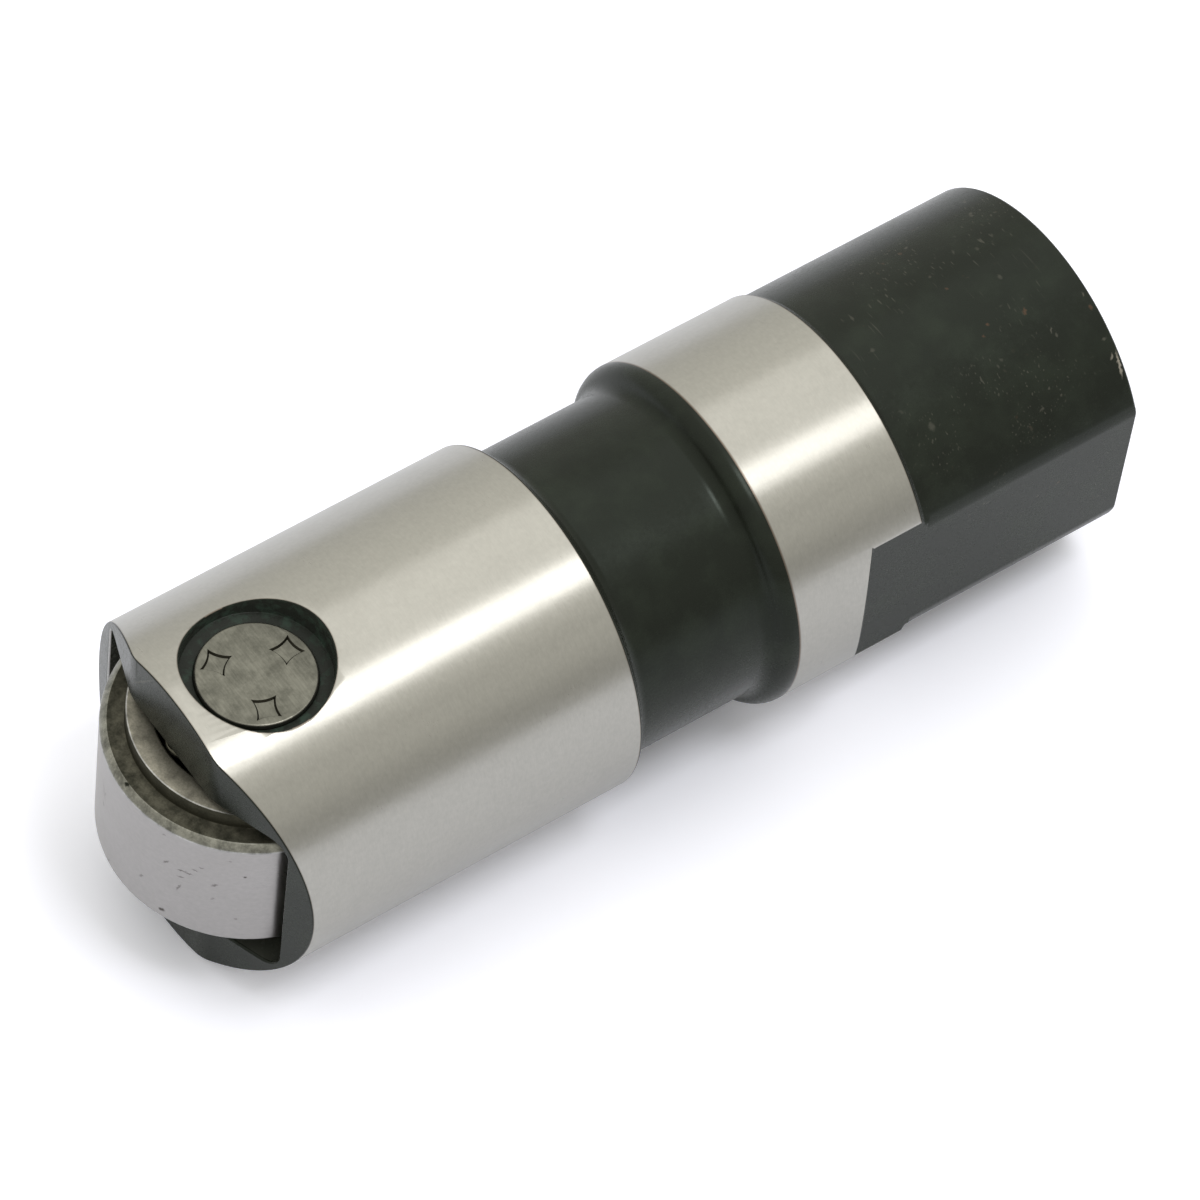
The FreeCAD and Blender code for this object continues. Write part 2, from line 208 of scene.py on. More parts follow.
class LifterStudio(bpy.types.PropertyGroup):
    """The camera and the light."""
    lens: FloatProperty(name="Lens", description="Focal length on a 36 mm wide frame", default=230.42)
    horizon: FloatProperty(name="Horizon light", description="Strength of the dome at the table's horizon",
                           default=0.52, min=0.0)
    zenith: FloatProperty(name="Zenith light", description="Strength of the dome at its brightest",
                          default=1.14, min=0.0)
    softbox_power: FloatProperty(name="Softbox", description="Power of the softbox over the table",
                                 default=0.9, min=0.0, unit="POWER")
    softbox_width: length("Softbox width", "Of the softbox, across the lifter", 170.0)
    softbox_length: length("Softbox length", "Of the softbox, along the lifter", 210.0)
    softbox_distance: length("Softbox distance", "Softbox to the lifter", 600.0)
    side_power: FloatProperty(name="Side panel", description="Power of the dim panel beside the softbox",
                              default=0.26, min=0.0, unit="POWER")
    side_width: length("Side panel width", "Of the dim panel, across the lifter", 440.0)
    side_length: length("Side panel length", "Of the dim panel, along the lifter", 340.0)
    table_gain: FloatProperty(name="Table exposure", description="How much brighter the camera sees it",
                              default=1.30, min=1.0)


# Modelling helpers

def only(piece):
    """Select one object, and make it the one that operators work on."""
    bpy.ops.object.select_all(action="DESELECT")
    piece.select_set(True)
    bpy.context.view_layer.objects.active = piece


def new_piece(name):
    """Name the primitive that was just added, and open it for shaping."""
    piece = bpy.context.object
    piece.name = name
    piece.data.name = name
    bpy.ops.object.mode_set(mode="EDIT")
    bpy.ops.mesh.select_all(action="SELECT")
    return piece


def settle(piece):
    """Put a piece's place, turn and size into its mesh, so that the object is at the origin."""
    only(piece)
    bpy.ops.object.transform_apply(location=True, rotation=True, scale=True)
    return piece


def close_piece(piece):
    """Merge the shape's seams and poles, turn its faces outwards, and put its place into its mesh."""
    bpy.ops.mesh.select_all(action="SELECT")
    bpy.ops.mesh.remove_doubles(threshold=SEAM)
    bpy.ops.mesh.normals_make_consistent(inside=False)
    bpy.ops.object.mode_set(mode="OBJECT")
    settle(piece)


def turned(name, rings, turns, tilt=0.0):
    """A piece turned on a lathe: a ring is extruded through each (radius, height) of its profile.

    A profile that starts and ends on the same ring is a tube, and any other is capped at both ends.
    """
    bpy.ops.object.select_all(action="DESELECT")
    radius, height = rings[0]
    closed = rings[0] == rings[-1]
    bpy.ops.mesh.primitive_circle_add(vertices=turns, radius=radius, location=(0, 0, 0),
                                      fill_type="NOTHING" if closed else "NGON")
    piece = new_piece(name)
    bpy.ops.transform.translate(value=(0, 0, height))
    for next_radius, next_height in rings[1:]:
        scale = next_radius / radius
        bpy.ops.mesh.extrude_region_move(TRANSFORM_OT_translate={"value": (0, 0, next_height - height)})
        bpy.ops.transform.resize(value=(scale, scale, 1), center_override=(0, 0, next_height))
        radius, height = next_radius, next_height
    close_piece(piece)
    piece.rotation_euler = (tilt, 0, 0)
    return settle(piece)


def block(name, low, high):
    """A cutter that fills the box between two corners."""
    low, high = Vector(low), Vector(high)
    bpy.ops.object.select_all(action="DESELECT")
    bpy.ops.mesh.primitive_cube_add(size=1, location=(low + high) / 2)
    piece = bpy.context.object
    piece.name = name
    piece.scale = high - low
    return settle(piece)


def finish_modifier(piece, kind, **settings):
    """Add a modifier with its settings, and apply it."""
    only(piece)
    modifier = piece.modifiers.new(kind.title(), kind)
    for key, value in settings.items():
        setattr(modifier, key, value)
    bpy.ops.object.modifier_apply(modifier=modifier.name)


def cut(piece, cutter, operation="DIFFERENCE"):
    """Take a cutter's shape away from a piece, or add it, or keep only what both fill."""
    finish_modifier(piece, "BOOLEAN", object=cutter, operation=operation, solver="EXACT")
    bpy.data.objects.remove(cutter)


def mend_seams(piece, reach):
    """Merge corners that cutting left closer together than reach."""
    only(piece)
    bpy.ops.object.mode_set(mode="EDIT")
    bpy.ops.mesh.select_all(action="SELECT")
    bpy.ops.mesh.remove_doubles(threshold=reach)
    bpy.ops.mesh.dissolve_degenerate(threshold=reach / 4)
    bpy.ops.object.mode_set(mode="OBJECT")


def moved(piece, offset):
    """Shift a finished piece, and put the shift into its mesh."""
    piece.location = offset
    return settle(piece)


def sliced(piece, place, normal, **settings):
    """Cut a piece's faces along a plane."""
    only(piece)
    bpy.ops.object.mode_set(mode="EDIT")
    bpy.ops.mesh.select_all(action="SELECT")
    bpy.ops.mesh.bisect(plane_co=place, plane_no=normal, **settings)
    bpy.ops.object.mode_set(mode="OBJECT")


def shift_corners(piece, offset, wanted):
    """Move the corners for which wanted(place) is true."""
    only(piece)
    bpy.ops.object.mode_set(mode="EDIT")
    bpy.ops.mesh.select_all(action="DESELECT")
    bpy.ops.object.mode_set(mode="OBJECT")
    for corner in piece.data.vertices:
        corner.select = wanted(corner.co)
    bpy.ops.object.mode_set(mode="EDIT")
    bpy.ops.transform.translate(value=offset)
    bpy.ops.object.mode_set(mode="OBJECT")


def soften(piece, width, wanted=lambda one, other: True):
    """Round the sharp edges for which wanted(one end, other end) is true, and shade the piece smoothly."""
    bevel_edges(piece, width, 2, wanted, SHARP)
    smooth(piece)


def smooth(piece):
    """Shade a piece smoothly, apart from its sharp edges; its large faces set the normals."""
    only(piece)
    bpy.ops.object.shade_smooth_by_angle(angle=math.radians(SHARP))
    finish_modifier(piece, "WEIGHTED_NORMAL", keep_sharp=True, weight=80)


def bevel_edges(piece, width, segments, wanted, sharper=1.0):
    """Round the edges sharper than an angle, in degrees, for which wanted(one end, other end) is true."""
    only(piece)
    bpy.ops.object.mode_set(mode="EDIT")
    bpy.ops.mesh.select_mode(type="EDGE")
    bpy.ops.mesh.select_all(action="DESELECT")
    bpy.ops.mesh.edges_select_sharp(sharpness=math.radians(sharper))
    bpy.ops.object.mode_set(mode="OBJECT")
    corners = piece.data.vertices
    chosen = [edge for edge in piece.data.edges if edge.select
              and wanted(*(corners[index].co for index in edge.vertices))]
    # Only the chosen edges may be marked: a marked corner or face would have all its edges rounded
    for element in (*corners, *piece.data.edges, *piece.data.polygons):
        element.select = False
    for edge in chosen:
        edge.select = True
    bpy.ops.object.mode_set(mode="EDIT")
    bpy.ops.mesh.bevel(offset=width, segments=segments)
    bpy.ops.mesh.select_mode(type="VERT")
    bpy.ops.object.mode_set(mode="OBJECT")


def paint(piece, index, wanted):
    """Give a material slot to each face for which wanted(centre, normal) is true."""
    for face in piece.data.polygons:
        if wanted(face.center, face.normal):
            face.material_index = index


def dress(piece, body, slot, node, *materials):
    """Give a shaped piece its materials and its body, and hide the solid that it stands for; slot is not
    used.
    """
    for material in materials:
        piece.data.materials.append(material)
    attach(piece, body)
    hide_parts(node)


# Materials

# Each mark is its centre and its radii in millimetres, its turn, and how strongly it shows
BRIGHT_SCUFFS = (((-7.35, -7.42, 0.33), (0.80, 0.30, 0.10), (0.0, 0.12, -0.79), 0.75),
                 ((-6.90, -7.86, 0.60), (0.22, 0.30, 0.10), (0.0, 0.6, -0.79), 0.45),
                 ((-1.87, -10.03, 26.51), (0.07, 0.12, 0.07), (0.0, 0.0, 0.0), 0.9),
                 # The next mark is a faint pale line across an ear's flat end, where the end face turns from
                 # medium to dark grey
                 ((2.95, -9.00, 59.80), (1.75, 0.06, 0.30), (0.0, 0.0, 0.948), 0.16),
                 ((-0.39, -10.46, 4.14), (0.20, 0.20, 0.14), (0.0, 0.0, 0.0), 0.10),
                 ((-4.43, -9.49, 3.33), (0.22, 0.22, 0.07), (0.0, 0.5, 0.0), 0.16),
                 ((-4.79, -9.31, 3.20), (0.14, 0.14, 0.10), (0.0, 0.0, 0.0), 0.12),
                 ((-3.55, -9.85, 0.45), (0.14, 0.14, 0.07), (0.0, 0.0, 0.0), 0.20),
                 ((-6.05, -8.55, 0.61), (0.10, 0.10, 0.16), (0.0, 0.0, 0.0), 0.14),
                 ((-5.86, -8.68, 12.72), (0.30, 0.30, 0.20), (0.0, 0.0, 0.0), 0.10),
                 ((1.98, -10.28, 3.95), (0.16, 0.16, 0.12), (0.0, 0.0, 0.0), 0.08))
RUST_FLECKS = (((-2.89, -10.07, 4.15), (0.24, 0.24, 0.11), (0.0, 0.4, 0.0), 0.38),
               ((-4.36, -9.52, 0.44), (0.18, 0.18, 0.10), (0.0, 0.0, 0.0), 0.30),
               ((-2.57, -10.15, 6.57), (0.10, 0.10, 0.10), (0.0, 0.0, 0.0), 0.32),
               ((-3.05, -10.02, 7.19), (0.11, 0.11, 0.09), (0.0, 0.0, 0.0), 0.28),
               ((0.53, -10.46, 7.22), (0.13, 0.13, 0.10), (0.0, 0.0, 0.0), 0.25))
TREAD_PITS = (((-3.26, 3.86, 62.14), (0.26, 0.15, 0.3), (0.0, 0.0, 0.5), 0.85),
              ((-6.84, -1.82, 59.29), (0.09, 0.09, 0.12), (0.0, 0.0, 0.0), 0.9),
              ((-1.82, 4.62, 62.60), (0.20, 0.10, 0.3), (0.0, 0.0, 0.4), 0.7),
              ((-3.34, -1.12, 62.11), (0.34, 0.08, 0.4), (0.0, 0.0, 0.9), 0.55),
              ((-4.24, -1.03, 61.65), (0.30, 0.07, 0.4), (0.0, 0.0, 0.3), 0.6),
              ((-4.57, -0.99, 61.45), (0.26, 0.07, 0.4), (0.0, 0.0, 0.1), 0.55),
              ((-4.87, -1.53, 61.25), (0.16, 0.07, 0.4), (0.0, 0.0, -0.3), 0.5),
              ((-5.15, -1.99, 61.04), (0.16, 0.07, 0.4), (0.0, 0.0, -0.2), 0.45),
              ((-4.20, -0.35, 61.68), (0.24, 0.07, 0.4), (0.0, 0.0, 0.2), 0.55),
              ((-4.12, 0.77, 61.72), (0.40, 0.08, 0.4), (0.0, 0.0, 1.2), 0.5),
              ((-5.75, -0.59, 60.54), (0.24, 0.08, 0.4), (0.0, 0.0, 0.9), 0.55),
              ((-4.81, -5.10, 61.29), (0.16, 0.07, 0.4), (0.0, 0.0, 0.6), 0.35),
              ((-3.13, -3.63, 62.20), (0.14, 0.07, 0.4), (0.0, 0.0, 0.6), 0.35),
              ((-6.31, -3.27, 59.96), (0.10, 0.08, 0.3), (0.0, 0.0, 0.0), 0.4),
              ((-1.80, 1.95, 62.60), (0.26, 0.08, 0.4), (0.0, 0.0, 0.9), 0.45),
              ((1.21, 4.29, 62.71), (0.30, 0.07, 0.4), (0.0, 0.0, 1.0), 0.35),
              ((2.30, -1.20, 62.48), (0.20, 0.90, 0.4), (0.0, 0.0, 0.3), 0.16),
              ((2.30, 0.06, 62.48), (0.10, 0.30, 0.4), (0.0, 0.0, 0.3), 0.35),
              ((2.06, -1.21, 62.55), (0.08, 0.20, 0.4), (0.0, 0.0, -0.2), 0.30),
              ((-5.73, 0.77, 60.55), (0.14, 0.08, 0.3), (0.0, 0.0, 0.4), 0.35),
              ((-6.64, 2.49, 59.55), (0.10, 0.10, 0.2), (0.0, 0.0, 0.0), 0.35))
RIM_PITS = (((0.20, -4.56, 62.49), (0.17, 0.17, 0.17), (0.0, 0.0, 0.0), 0.95),)


def add_node(material, kind, links=None, out=0, **settings):
    """Add a node with its settings to a material or world, and return one of its outputs.

    links maps its inputs to values or to other nodes' outputs. A Map Range has input 0 for the value, 1 and 2
    for the range that it comes from, and 3 and 4 for the range that it is spread over. A Mix of colours has
    input 0 for the amount, 6 and 7 for the two colours, and its result is output 2.
    """
    node = material.node_tree.nodes.new("ShaderNode" + kind)
    for key, value in settings.items():
        setattr(node, key, value)
    for key, value in (links or {}).items():
        if isinstance(value, bpy.types.NodeSocket):
            material.node_tree.links.new(value, node.inputs[key])
        else:
            node.inputs[key].default_value = value
    return node.outputs[out] if node.outputs else None


def new_material(name):
    """An empty material, and add_node for that material."""
    material = bpy.data.materials.new(name)
    material.use_nodes = True
    material.node_tree.nodes.clear()
    return material, partial(add_node, material)


def marked(add, base, place, marks, tint):
    """A colour with dents, pits or scratches of another colour on it, each a small soft ellipsoid."""
    if not marks:
        return base
    # The marks' outlines wander by about 0.06 mm, as torn and rubbed edges do
    wander = add("TexNoise", {"Vector": place, "Scale": 1 / (0.15 * MM), "Detail": 2.0}, out="Color")
    wander = add("VectorMath", {0: wander, 1: (0.5, 0.5, 0.5)}, operation="SUBTRACT")
    wander = add("VectorMath", {0: wander, "Scale": 0.25 * MM}, operation="SCALE")
    rough_place = add("VectorMath", {0: place, 1: wander}, operation="ADD")
    for centre, radii, turn, strength in marks:
        middle = [MM * value for value in centre]
        spans = [MM * value for value in radii]
        local = add("Mapping", {"Vector": rough_place, "Location": middle, "Rotation": turn, "Scale": spans},
                    vector_type="TEXTURE")
        reach = add("VectorMath", {0: local}, out="Value", operation="LENGTH")
        inside = add("MapRange", {0: reach, 1: 0.5, 2: 1.15, 3: 1.0, 4: 0.0})
        amount = add("Math", {0: inside, 1: strength}, operation="MULTIPLY")
        base = add("Mix", {0: amount, 6: base, 7: tint[:]}, out=2, data_type="RGBA")
    return base


def ground_steel(name, tint, sizes, colours, lines="Z", borders=False, marks=()):
    """Centreless-ground steel: fine lines round the axis draw each reflection out along it."""
    material, add = new_material(name)
    place = add("TexCoord", out="Object")
    # Grinding lines are a few micrometres apart, far too fine to show, so they are drawn 0.08 mm apart
    stretch = (1 / 6, 1 / 6, 1) if lines == "Z" else (1 / 6, 1, 1 / 6)
    along = add("Mapping", {"Vector": place, "Scale": stretch})
    fine = add("TexNoise", {"Vector": along, "Scale": 1 / (0.08 * MM), "Detail": 2.0, "Roughness": 0.6})
    # Faint speckles 0.3 mm wide, and the soft clouding 3.5 mm wide that handling leaves
    speckle = add("TexNoise", {"Vector": place, "Scale": 1 / (0.30 * MM), "Detail": 3.0, "Roughness": 0.6})
    cloud = add("TexNoise", {"Vector": place, "Scale": 1 / (3.5 * MM), "Detail": 2.0, "Roughness": 0.5})
    fine_shade = add("MapRange", {0: fine, 1: 0.3, 2: 0.7, 3: 0.95, 4: 1.03})
    speckle_shade = add("MapRange", {0: speckle, 1: 0.3, 2: 0.7, 3: 0.95, 4: 1.03})
    shade = add("Math", {0: fine_shade, 1: speckle_shade}, operation="MULTIPLY")
    grey = add("CombineColor", {0: shade, 1: shade, 2: shade})
    base = add("Mix", {0: 1.0, 6: tint[:], 7: grey}, out=2, data_type="RGBA", blend_type="MULTIPLY")
    if borders:
        base = add("Mix", {0: border_mask(add, place, sizes), 6: base, 7: colours.border[:]}, out=2,
                   data_type="RGBA")
    base = marked(add, base, place, marks, colours.pit)
    rough = add("Math", {0: add("MapRange", {0: fine, 1: 0.3, 2: 0.7, 3: -0.03, 4: 0.03}),
                         1: add("MapRange", {0: cloud, 1: 0.3, 2: 0.7, 3: 0.30, 4: 0.34})}, operation="ADD")
    surface = add("BsdfPrincipled", {
        "Base Color": base, "Metallic": 1.0, "Roughness": rough,
        "Anisotropic": 0.83, "Anisotropic Rotation": 0.25,
        "Tangent": add("Tangent", direction_type="RADIAL", axis=lines),
        "Normal": add("Bump", {"Strength": 0.10, "Distance": 0.004 * MM, "Height": fine})})
    add("OutputMaterial", {"Surface": surface})
    return material


def border_mask(add, place, sizes):
    """Nearly 1 on the thin brown line where the lands' grinding stops, 0 elsewhere."""
    parts = add("SeparateXYZ", {0: place}).node.outputs
    side, height = add("Math", {0: parts["X"]}, operation="ABSOLUTE"), parts["Z"]
    # The ears' ends fall away outside their flat part, and the counterbores are rings round the axle
    outside = add("Math", {0: side, 1: sizes.tip_half}, operation="SUBTRACT")
    outside = add("Math", {0: outside, 1: 0.0}, operation="MAXIMUM")
    fall = -math.tan(sizes.bevel_angle)
    tip = add("Math", {0: outside, 1: fall, 2: sizes.ear_tip}, operation="MULTIPLY_ADD")
    above = add("Math", {0: height, 1: sizes.axle_height}, operation="SUBTRACT")
    from_axle = add("CombineXYZ", {0: side, 1: above})
    from_axle = add("VectorMath", {0: from_axle}, out="Value", operation="LENGTH")
    chamfer_end = sizes.lower_start + sizes.land_radius - sizes.neck_radius - sizes.neck_fillet
    borders = [(height, sizes.land_start), (height, sizes.land_end), (height, chamfer_end), (height, tip),
               (from_axle, sizes.counterbore_radius)]
    nearest = 1.0
    for value, border in borders:
        offset = add("Math", {0: value, 1: border}, operation="SUBTRACT")
        offset = add("Math", {0: offset}, operation="ABSOLUTE")
        nearest = add("Math", {0: nearest, 1: offset}, operation="MINIMUM")
    return add("MapRange", {0: nearest, 1: 0.04 * MM, 2: 0.14 * MM, 3: 0.8, 4: 0.0})


def black_oxide(name, sizes, colours, dark, light):
    """Black oxide over turned and milled steel: a thin dark conversion coat, a little green, with scuffs."""
    material, add = new_material(name)
    place = add("TexCoord", out="Object")
    cloud = add("TexNoise", {"Vector": place, "Scale": 1 / (2.5 * MM), "Detail": 4.0, "Roughness": 0.6})
    fine = add("TexNoise", {"Vector": place, "Scale": 1 / (0.25 * MM), "Detail": 3.0, "Roughness": 0.6})
    base = add("Mix", {0: add("MapRange", {0: cloud, 1: 0.45, 2: 0.75}), 6: dark[:], 7: light[:]}, out=2,
               data_type="RGBA")
    # Handling flecks about 0.3 mm wide and hairline scratches, in patches 4 mm wide on the open end only
    worn = add("TexNoise", {"Vector": place, "Scale": 1 / (4.0 * MM), "Detail": 1.0, "Roughness": 0.5})
    near_rim = add("MapRange", {0: add("SeparateXYZ", {0: place}, out="Z"), 1: sizes.land_start - 3 * MM,
                                2: sizes.land_start, 3: 1.0, 4: 0.0})
    worn = add("MapRange", {0: worn, 1: 0.46, 2: 0.60})
    patch = add("Math", {0: worn, 1: near_rim}, operation="MULTIPLY")
    flecks = add("TexNoise", {"Vector": place, "Scale": 1 / (0.60 * MM), "Detail": 1.0, "Roughness": 0.5})
    flecks = add("MapRange", {0: flecks, 1: 0.71, 2: 0.80, 4: 0.2})
    flecks = add("Math", {0: flecks, 1: patch}, operation="MULTIPLY")
    rust = add("TexNoise", {"Vector": place, "Scale": 1 / (1.1 * MM), "Detail": 1.0, "Roughness": 0.5})
    rust = add("MapRange", {0: rust, 1: 0.45, 2: 0.55})
    fleck = add("Mix", {0: rust, 6: colours.bare[:], 7: colours.fleck[:]}, out=2, data_type="RGBA")
    base = add("Mix", {0: flecks, 6: base, 7: fleck}, out=2, data_type="RGBA")
    hairs = add("Mapping", {"Vector": place, "Rotation": (0.5, 0.2, 0.9), "Scale": (1 / 25, 1.0, 1.0)})
    hairs = add("TexNoise", {"Vector": hairs, "Scale": 1 / (0.12 * MM), "Detail": 0.0, "Roughness": 0.5})
    hairs = add("MapRange", {0: hairs, 1: 0.72, 2: 0.80, 4: 0.12})
    hairs = add("Math", {0: hairs, 1: patch}, operation="MULTIPLY")
    base = add("Mix", {0: hairs, 6: base, 7: colours.bare[:]}, out=2, data_type="RGBA")
    base = marked(add, base, place, BRIGHT_SCUFFS, colours.bare)
    base = marked(add, base, place, RUST_FLECKS, colours.fleck)
    rough = add("Math", {0: add("MapRange", {0: fine, 1: 0.3, 2: 0.7, 3: 0.22, 4: 0.30}),
                         1: add("MapRange", {0: cloud, 1: 0.3, 2: 0.7, 3: -0.03, 4: 0.03})}, operation="ADD")
    surface = add("BsdfPrincipled", {
        "Base Color": base, "Roughness": rough, "IOR": 1.32, "Specular Tint": colours.black_sheen[:],
        "Normal": add("Bump", {"Strength": 0.15, "Distance": 0.004 * MM, "Height": fine})})
    add("OutputMaterial", {"Surface": surface})
    return material


def oily_oxide(name, colours):
    """Black oxide that has kept its oil: almost black, with greenish stains and glossy smears."""
    material, add = new_material(name)
    place = add("TexCoord", out="Object")
    stain = add("TexNoise", {"Vector": place, "Scale": 1 / (0.8 * MM), "Detail": 4.0, "Roughness": 0.7})
    film = add("TexNoise", {"Vector": place, "Scale": 1 / (0.4 * MM), "Detail": 2.0, "Roughness": 0.5})
    base = add("Mix", {0: add("MapRange", {0: stain, 1: 0.48, 2: 0.68}), 6: colours.oily[:],
                       7: colours.verdigris[:]}, out=2, data_type="RGBA")
    rough = add("MapRange", {0: film, 1: 0.35, 2: 0.65, 3: 0.14, 4: 0.5})
    surface = add("BsdfPrincipled", {
        "Base Color": base, "Roughness": rough, "IOR": 1.20,
        "Normal": add("Bump", {"Strength": 0.5, "Distance": 0.03 * MM, "Height": film})})
    add("OutputMaterial", {"Surface": surface})
    return material


def plain_steel(name, tint, roughness, stain=None, stain_share=0.0, stretch=(1.0, 1.0, 1.0), marks=()):
    """Turned or hardened steel with an even grain 0.12 mm wide, and clouds of old oil where a stain is given.

    A stretch of (0.1, 1, 1) brushes the grain along X.
    """
    material, add = new_material(name)
    place = add("TexCoord", out="Object")
    along = add("Mapping", {"Vector": place, "Scale": stretch})
    fine = add("TexNoise", {"Vector": along, "Scale": 1 / (0.12 * MM), "Detail": 3.0, "Roughness": 0.6})
    cloud = add("TexNoise", {"Vector": place, "Scale": 1 / (0.9 * MM), "Detail": 5.0, "Roughness": 0.7})
    shade = add("MapRange", {0: fine, 1: 0.3, 2: 0.7, 3: 0.82, 4: 1.08})
    grey = add("CombineColor", {0: shade, 1: shade, 2: shade})
    base = add("Mix", {0: 1.0, 6: tint[:], 7: grey}, out=2, data_type="RGBA", blend_type="MULTIPLY")
    if stain is not None:
        share = add("MapRange", {0: cloud, 1: 0.38, 2: 0.66, 4: stain_share})
        base = add("Mix", {0: share, 6: base, 7: stain[:]}, out=2, data_type="RGBA")
        base = marked(add, base, place, marks, stain)
    low, high = roughness
    rough = add("MapRange", {0: cloud, 1: 0.3, 2: 0.7, 3: low, 4: high})
    surface = add("BsdfPrincipled", {
        "Base Color": base, "Metallic": 1.0, "Roughness": rough,
        "Normal": add("Bump", {"Strength": 0.25, "Distance": 0.01 * MM, "Height": fine})})
    add("OutputMaterial", {"Surface": surface})
    return material


# Pieces

class LIFTER_OT_body(bpy.types.Operator):
    """Turn the body's blank, then bore it and mill its flats, bevels, pocket and holes"""
    bl_idname = "lifter.body"
    bl_label = "Tappet body"

    def execute(self, context):
        sizes = context.scene.lifter_sizes
        colours = context.scene.lifter_colours
        body = turned("blackened_body", self.outside(sizes), sizes.turns)
        cut(body, turned("bore_cutter", self.inside(sizes), sizes.turns))
        for side in (-1, 1):
            cut(body, self.flat_cutter(sizes, side))
            cut(body, self.side_cutter(sizes, side))
        cut(body, self.ears_cutter(sizes))
        cut(body, self.pocket_cutter(sizes))
        cut(body, self.axle_cutter(sizes))
        rings = [(sizes.feed_hole_radius, 0), (sizes.feed_hole_radius, 3 * sizes.land_radius)]
        hole = turned("feed_cutter", rings, sizes.turns // 3, tilt=-math.pi / 2)
        cut(body, moved(hole, (0, 0, sizes.feed_hole_height)))
        mend_seams(body, reach=0.03 * MM)
        bevel_edges(body, sizes.pocket_break, 2, lambda *ends: all(self.at_mouth(sizes, end) for end in ends))
        soften(body, sizes.edge_break, lambda *ends: not all(self.at_run_out(sizes, end) for end in ends))
        dress(body, "body", "black_and_ground_steel", "tappet_body",
              # Nearly black with a green sheen: the oxide is thin, and mirrors softly
              black_oxide("black_oxide_steel", sizes, colours, colours.black, colours.black_light),
              # Pale steel that draws its reflections out along the lifter, with a brown line at its borders
              ground_steel("centreless_ground_steel", colours.ground, sizes, colours, borders=True),
              # Dark wells round the axle's ends, with wet glints
              oily_oxide("oily_black_oxide", colours),
              # A thin bright line on the pocket's rubbed edge, partly wear and partly a painted highlight
              plain_steel("worn_edge_painted_highlight", colours.edge, (0.30, 0.42)),
              # Painted light: walls of a greyer black than the outside, so that the pocket's deep shade is
              # less black
              black_oxide("pocket_oxide_painted_light", sizes, colours, colours.pocket, colours.pocket_light))
        # The first finish covers all that gets no other
        ground, oily, wear_and_highlight, pocket_painted_light = range(1, 5)
        near = 0.03 * MM
        lands = ((sizes.land_start, sizes.land_end), (sizes.lower_start, sizes.ear_tip))
        floor = sizes.axle_height - sizes.pocket_half_length
        paint(body, ground, lambda centre, normal: abs(normal.z) < 0.05
              and abs(math.hypot(centre.x, centre.y) - sizes.land_radius) < near
              and any(low < centre.z < high for low, high in lands))
        paint(body, oily, lambda centre, normal: abs(centre.y) > sizes.counterbore_floor - near
              and math.hypot(centre.x, centre.z - sizes.axle_height) < sizes.counterbore_radius + near)
        # Painted light: the walls inside the pocket get the greyer oxide
        paint(body, pocket_painted_light, lambda centre, normal: centre.z > floor - near
              and self.from_outline(sizes, centre) < near
              and (abs(normal.z) < 0.3 or centre.z < sizes.axle_height))
        # Painted highlight, with wear: only the mouth's edge on the +X side, where the light catches it, is
        # made bright
        paint(body, wear_and_highlight, lambda centre, normal: centre.x > sizes.tip_half and 0.3 < normal.z < 0.95
              and abs(self.from_outline(sizes, centre)) < 0.10 * MM
              and abs(self.top(sizes, centre.x) - centre.z) < 0.25 * MM)
        return {"FINISHED"}

    @staticmethod
    def top(sizes, x):
        """Height of the ears' ends at a distance x from the axle's plane."""
        return sizes.ear_tip - max(0.0, abs(x) - sizes.tip_half) * math.tan(sizes.bevel_angle)

    @staticmethod
    def from_outline(sizes, place):
        """Distance of a place from the pocket's outline in plan, less than 0 inside it."""
        across = abs(place.x) - (sizes.pocket_half_length - sizes.pocket_corner)
        along = abs(place.y) - (sizes.pocket_half_width - sizes.pocket_corner)
        corner = math.hypot(max(across, 0.0), max(along, 0.0)) + min(max(across, along), 0.0)
        return corner - sizes.pocket_corner

    @staticmethod
    def side_end(sizes):
        """Where the rounding of the flats' long edges stops, just before the land's step."""
        return sizes.land_start - (sizes.land_radius - sizes.relief_radius) - 0.25 * MM

    def at_run_out(self, sizes, place):
        """Whether a corner is where a flat's rounded long edge runs out, too shallow to be rounded again."""
        end = self.side_end(sizes)
        return end - 0.3 * MM < place.z < end + 0.02 * MM and abs(abs(place.x) - sizes.flat_half) < 0.3 * MM

    def at_mouth(self, sizes, place):
        """Whether a corner is on the edge of the pocket's mouth."""
        return (abs(self.from_outline(sizes, place)) < 0.01 * MM
                and abs(self.top(sizes, place.x) - place.z) < 0.1 * MM)

    @staticmethod
    def outside(sizes):
        """From the rim's middle over the lands and the neck to the ears' tips."""
        depth = sizes.land_radius - sizes.neck_radius
        both = sizes.shoulder_round + sizes.neck_fillet
        sweep = math.acos(1 - depth / both)
        neck_start = sizes.land_end + both * math.sin(sweep)
        angles = [sweep * step / ROUND_STEPS for step in range(ROUND_STEPS + 1)]
        shoulder = [(sizes.land_radius - sizes.shoulder_round * (1 - math.cos(angle)),
                     sizes.land_end + sizes.shoulder_round * math.sin(angle)) for angle in angles]
        shoulder += [(sizes.neck_radius + sizes.neck_fillet * (1 - math.cos(angle)),
                      neck_start - sizes.neck_fillet * math.sin(angle)) for angle in reversed(angles[:-1])]
        quarter = [math.pi / 2 * step / ROUND_STEPS for step in range(ROUND_STEPS + 1)]
        foot = [(sizes.neck_radius + sizes.neck_fillet * (1 - math.cos(angle)),
                 sizes.lower_start - sizes.neck_fillet * (1 - math.sin(angle))) for angle in quarter]
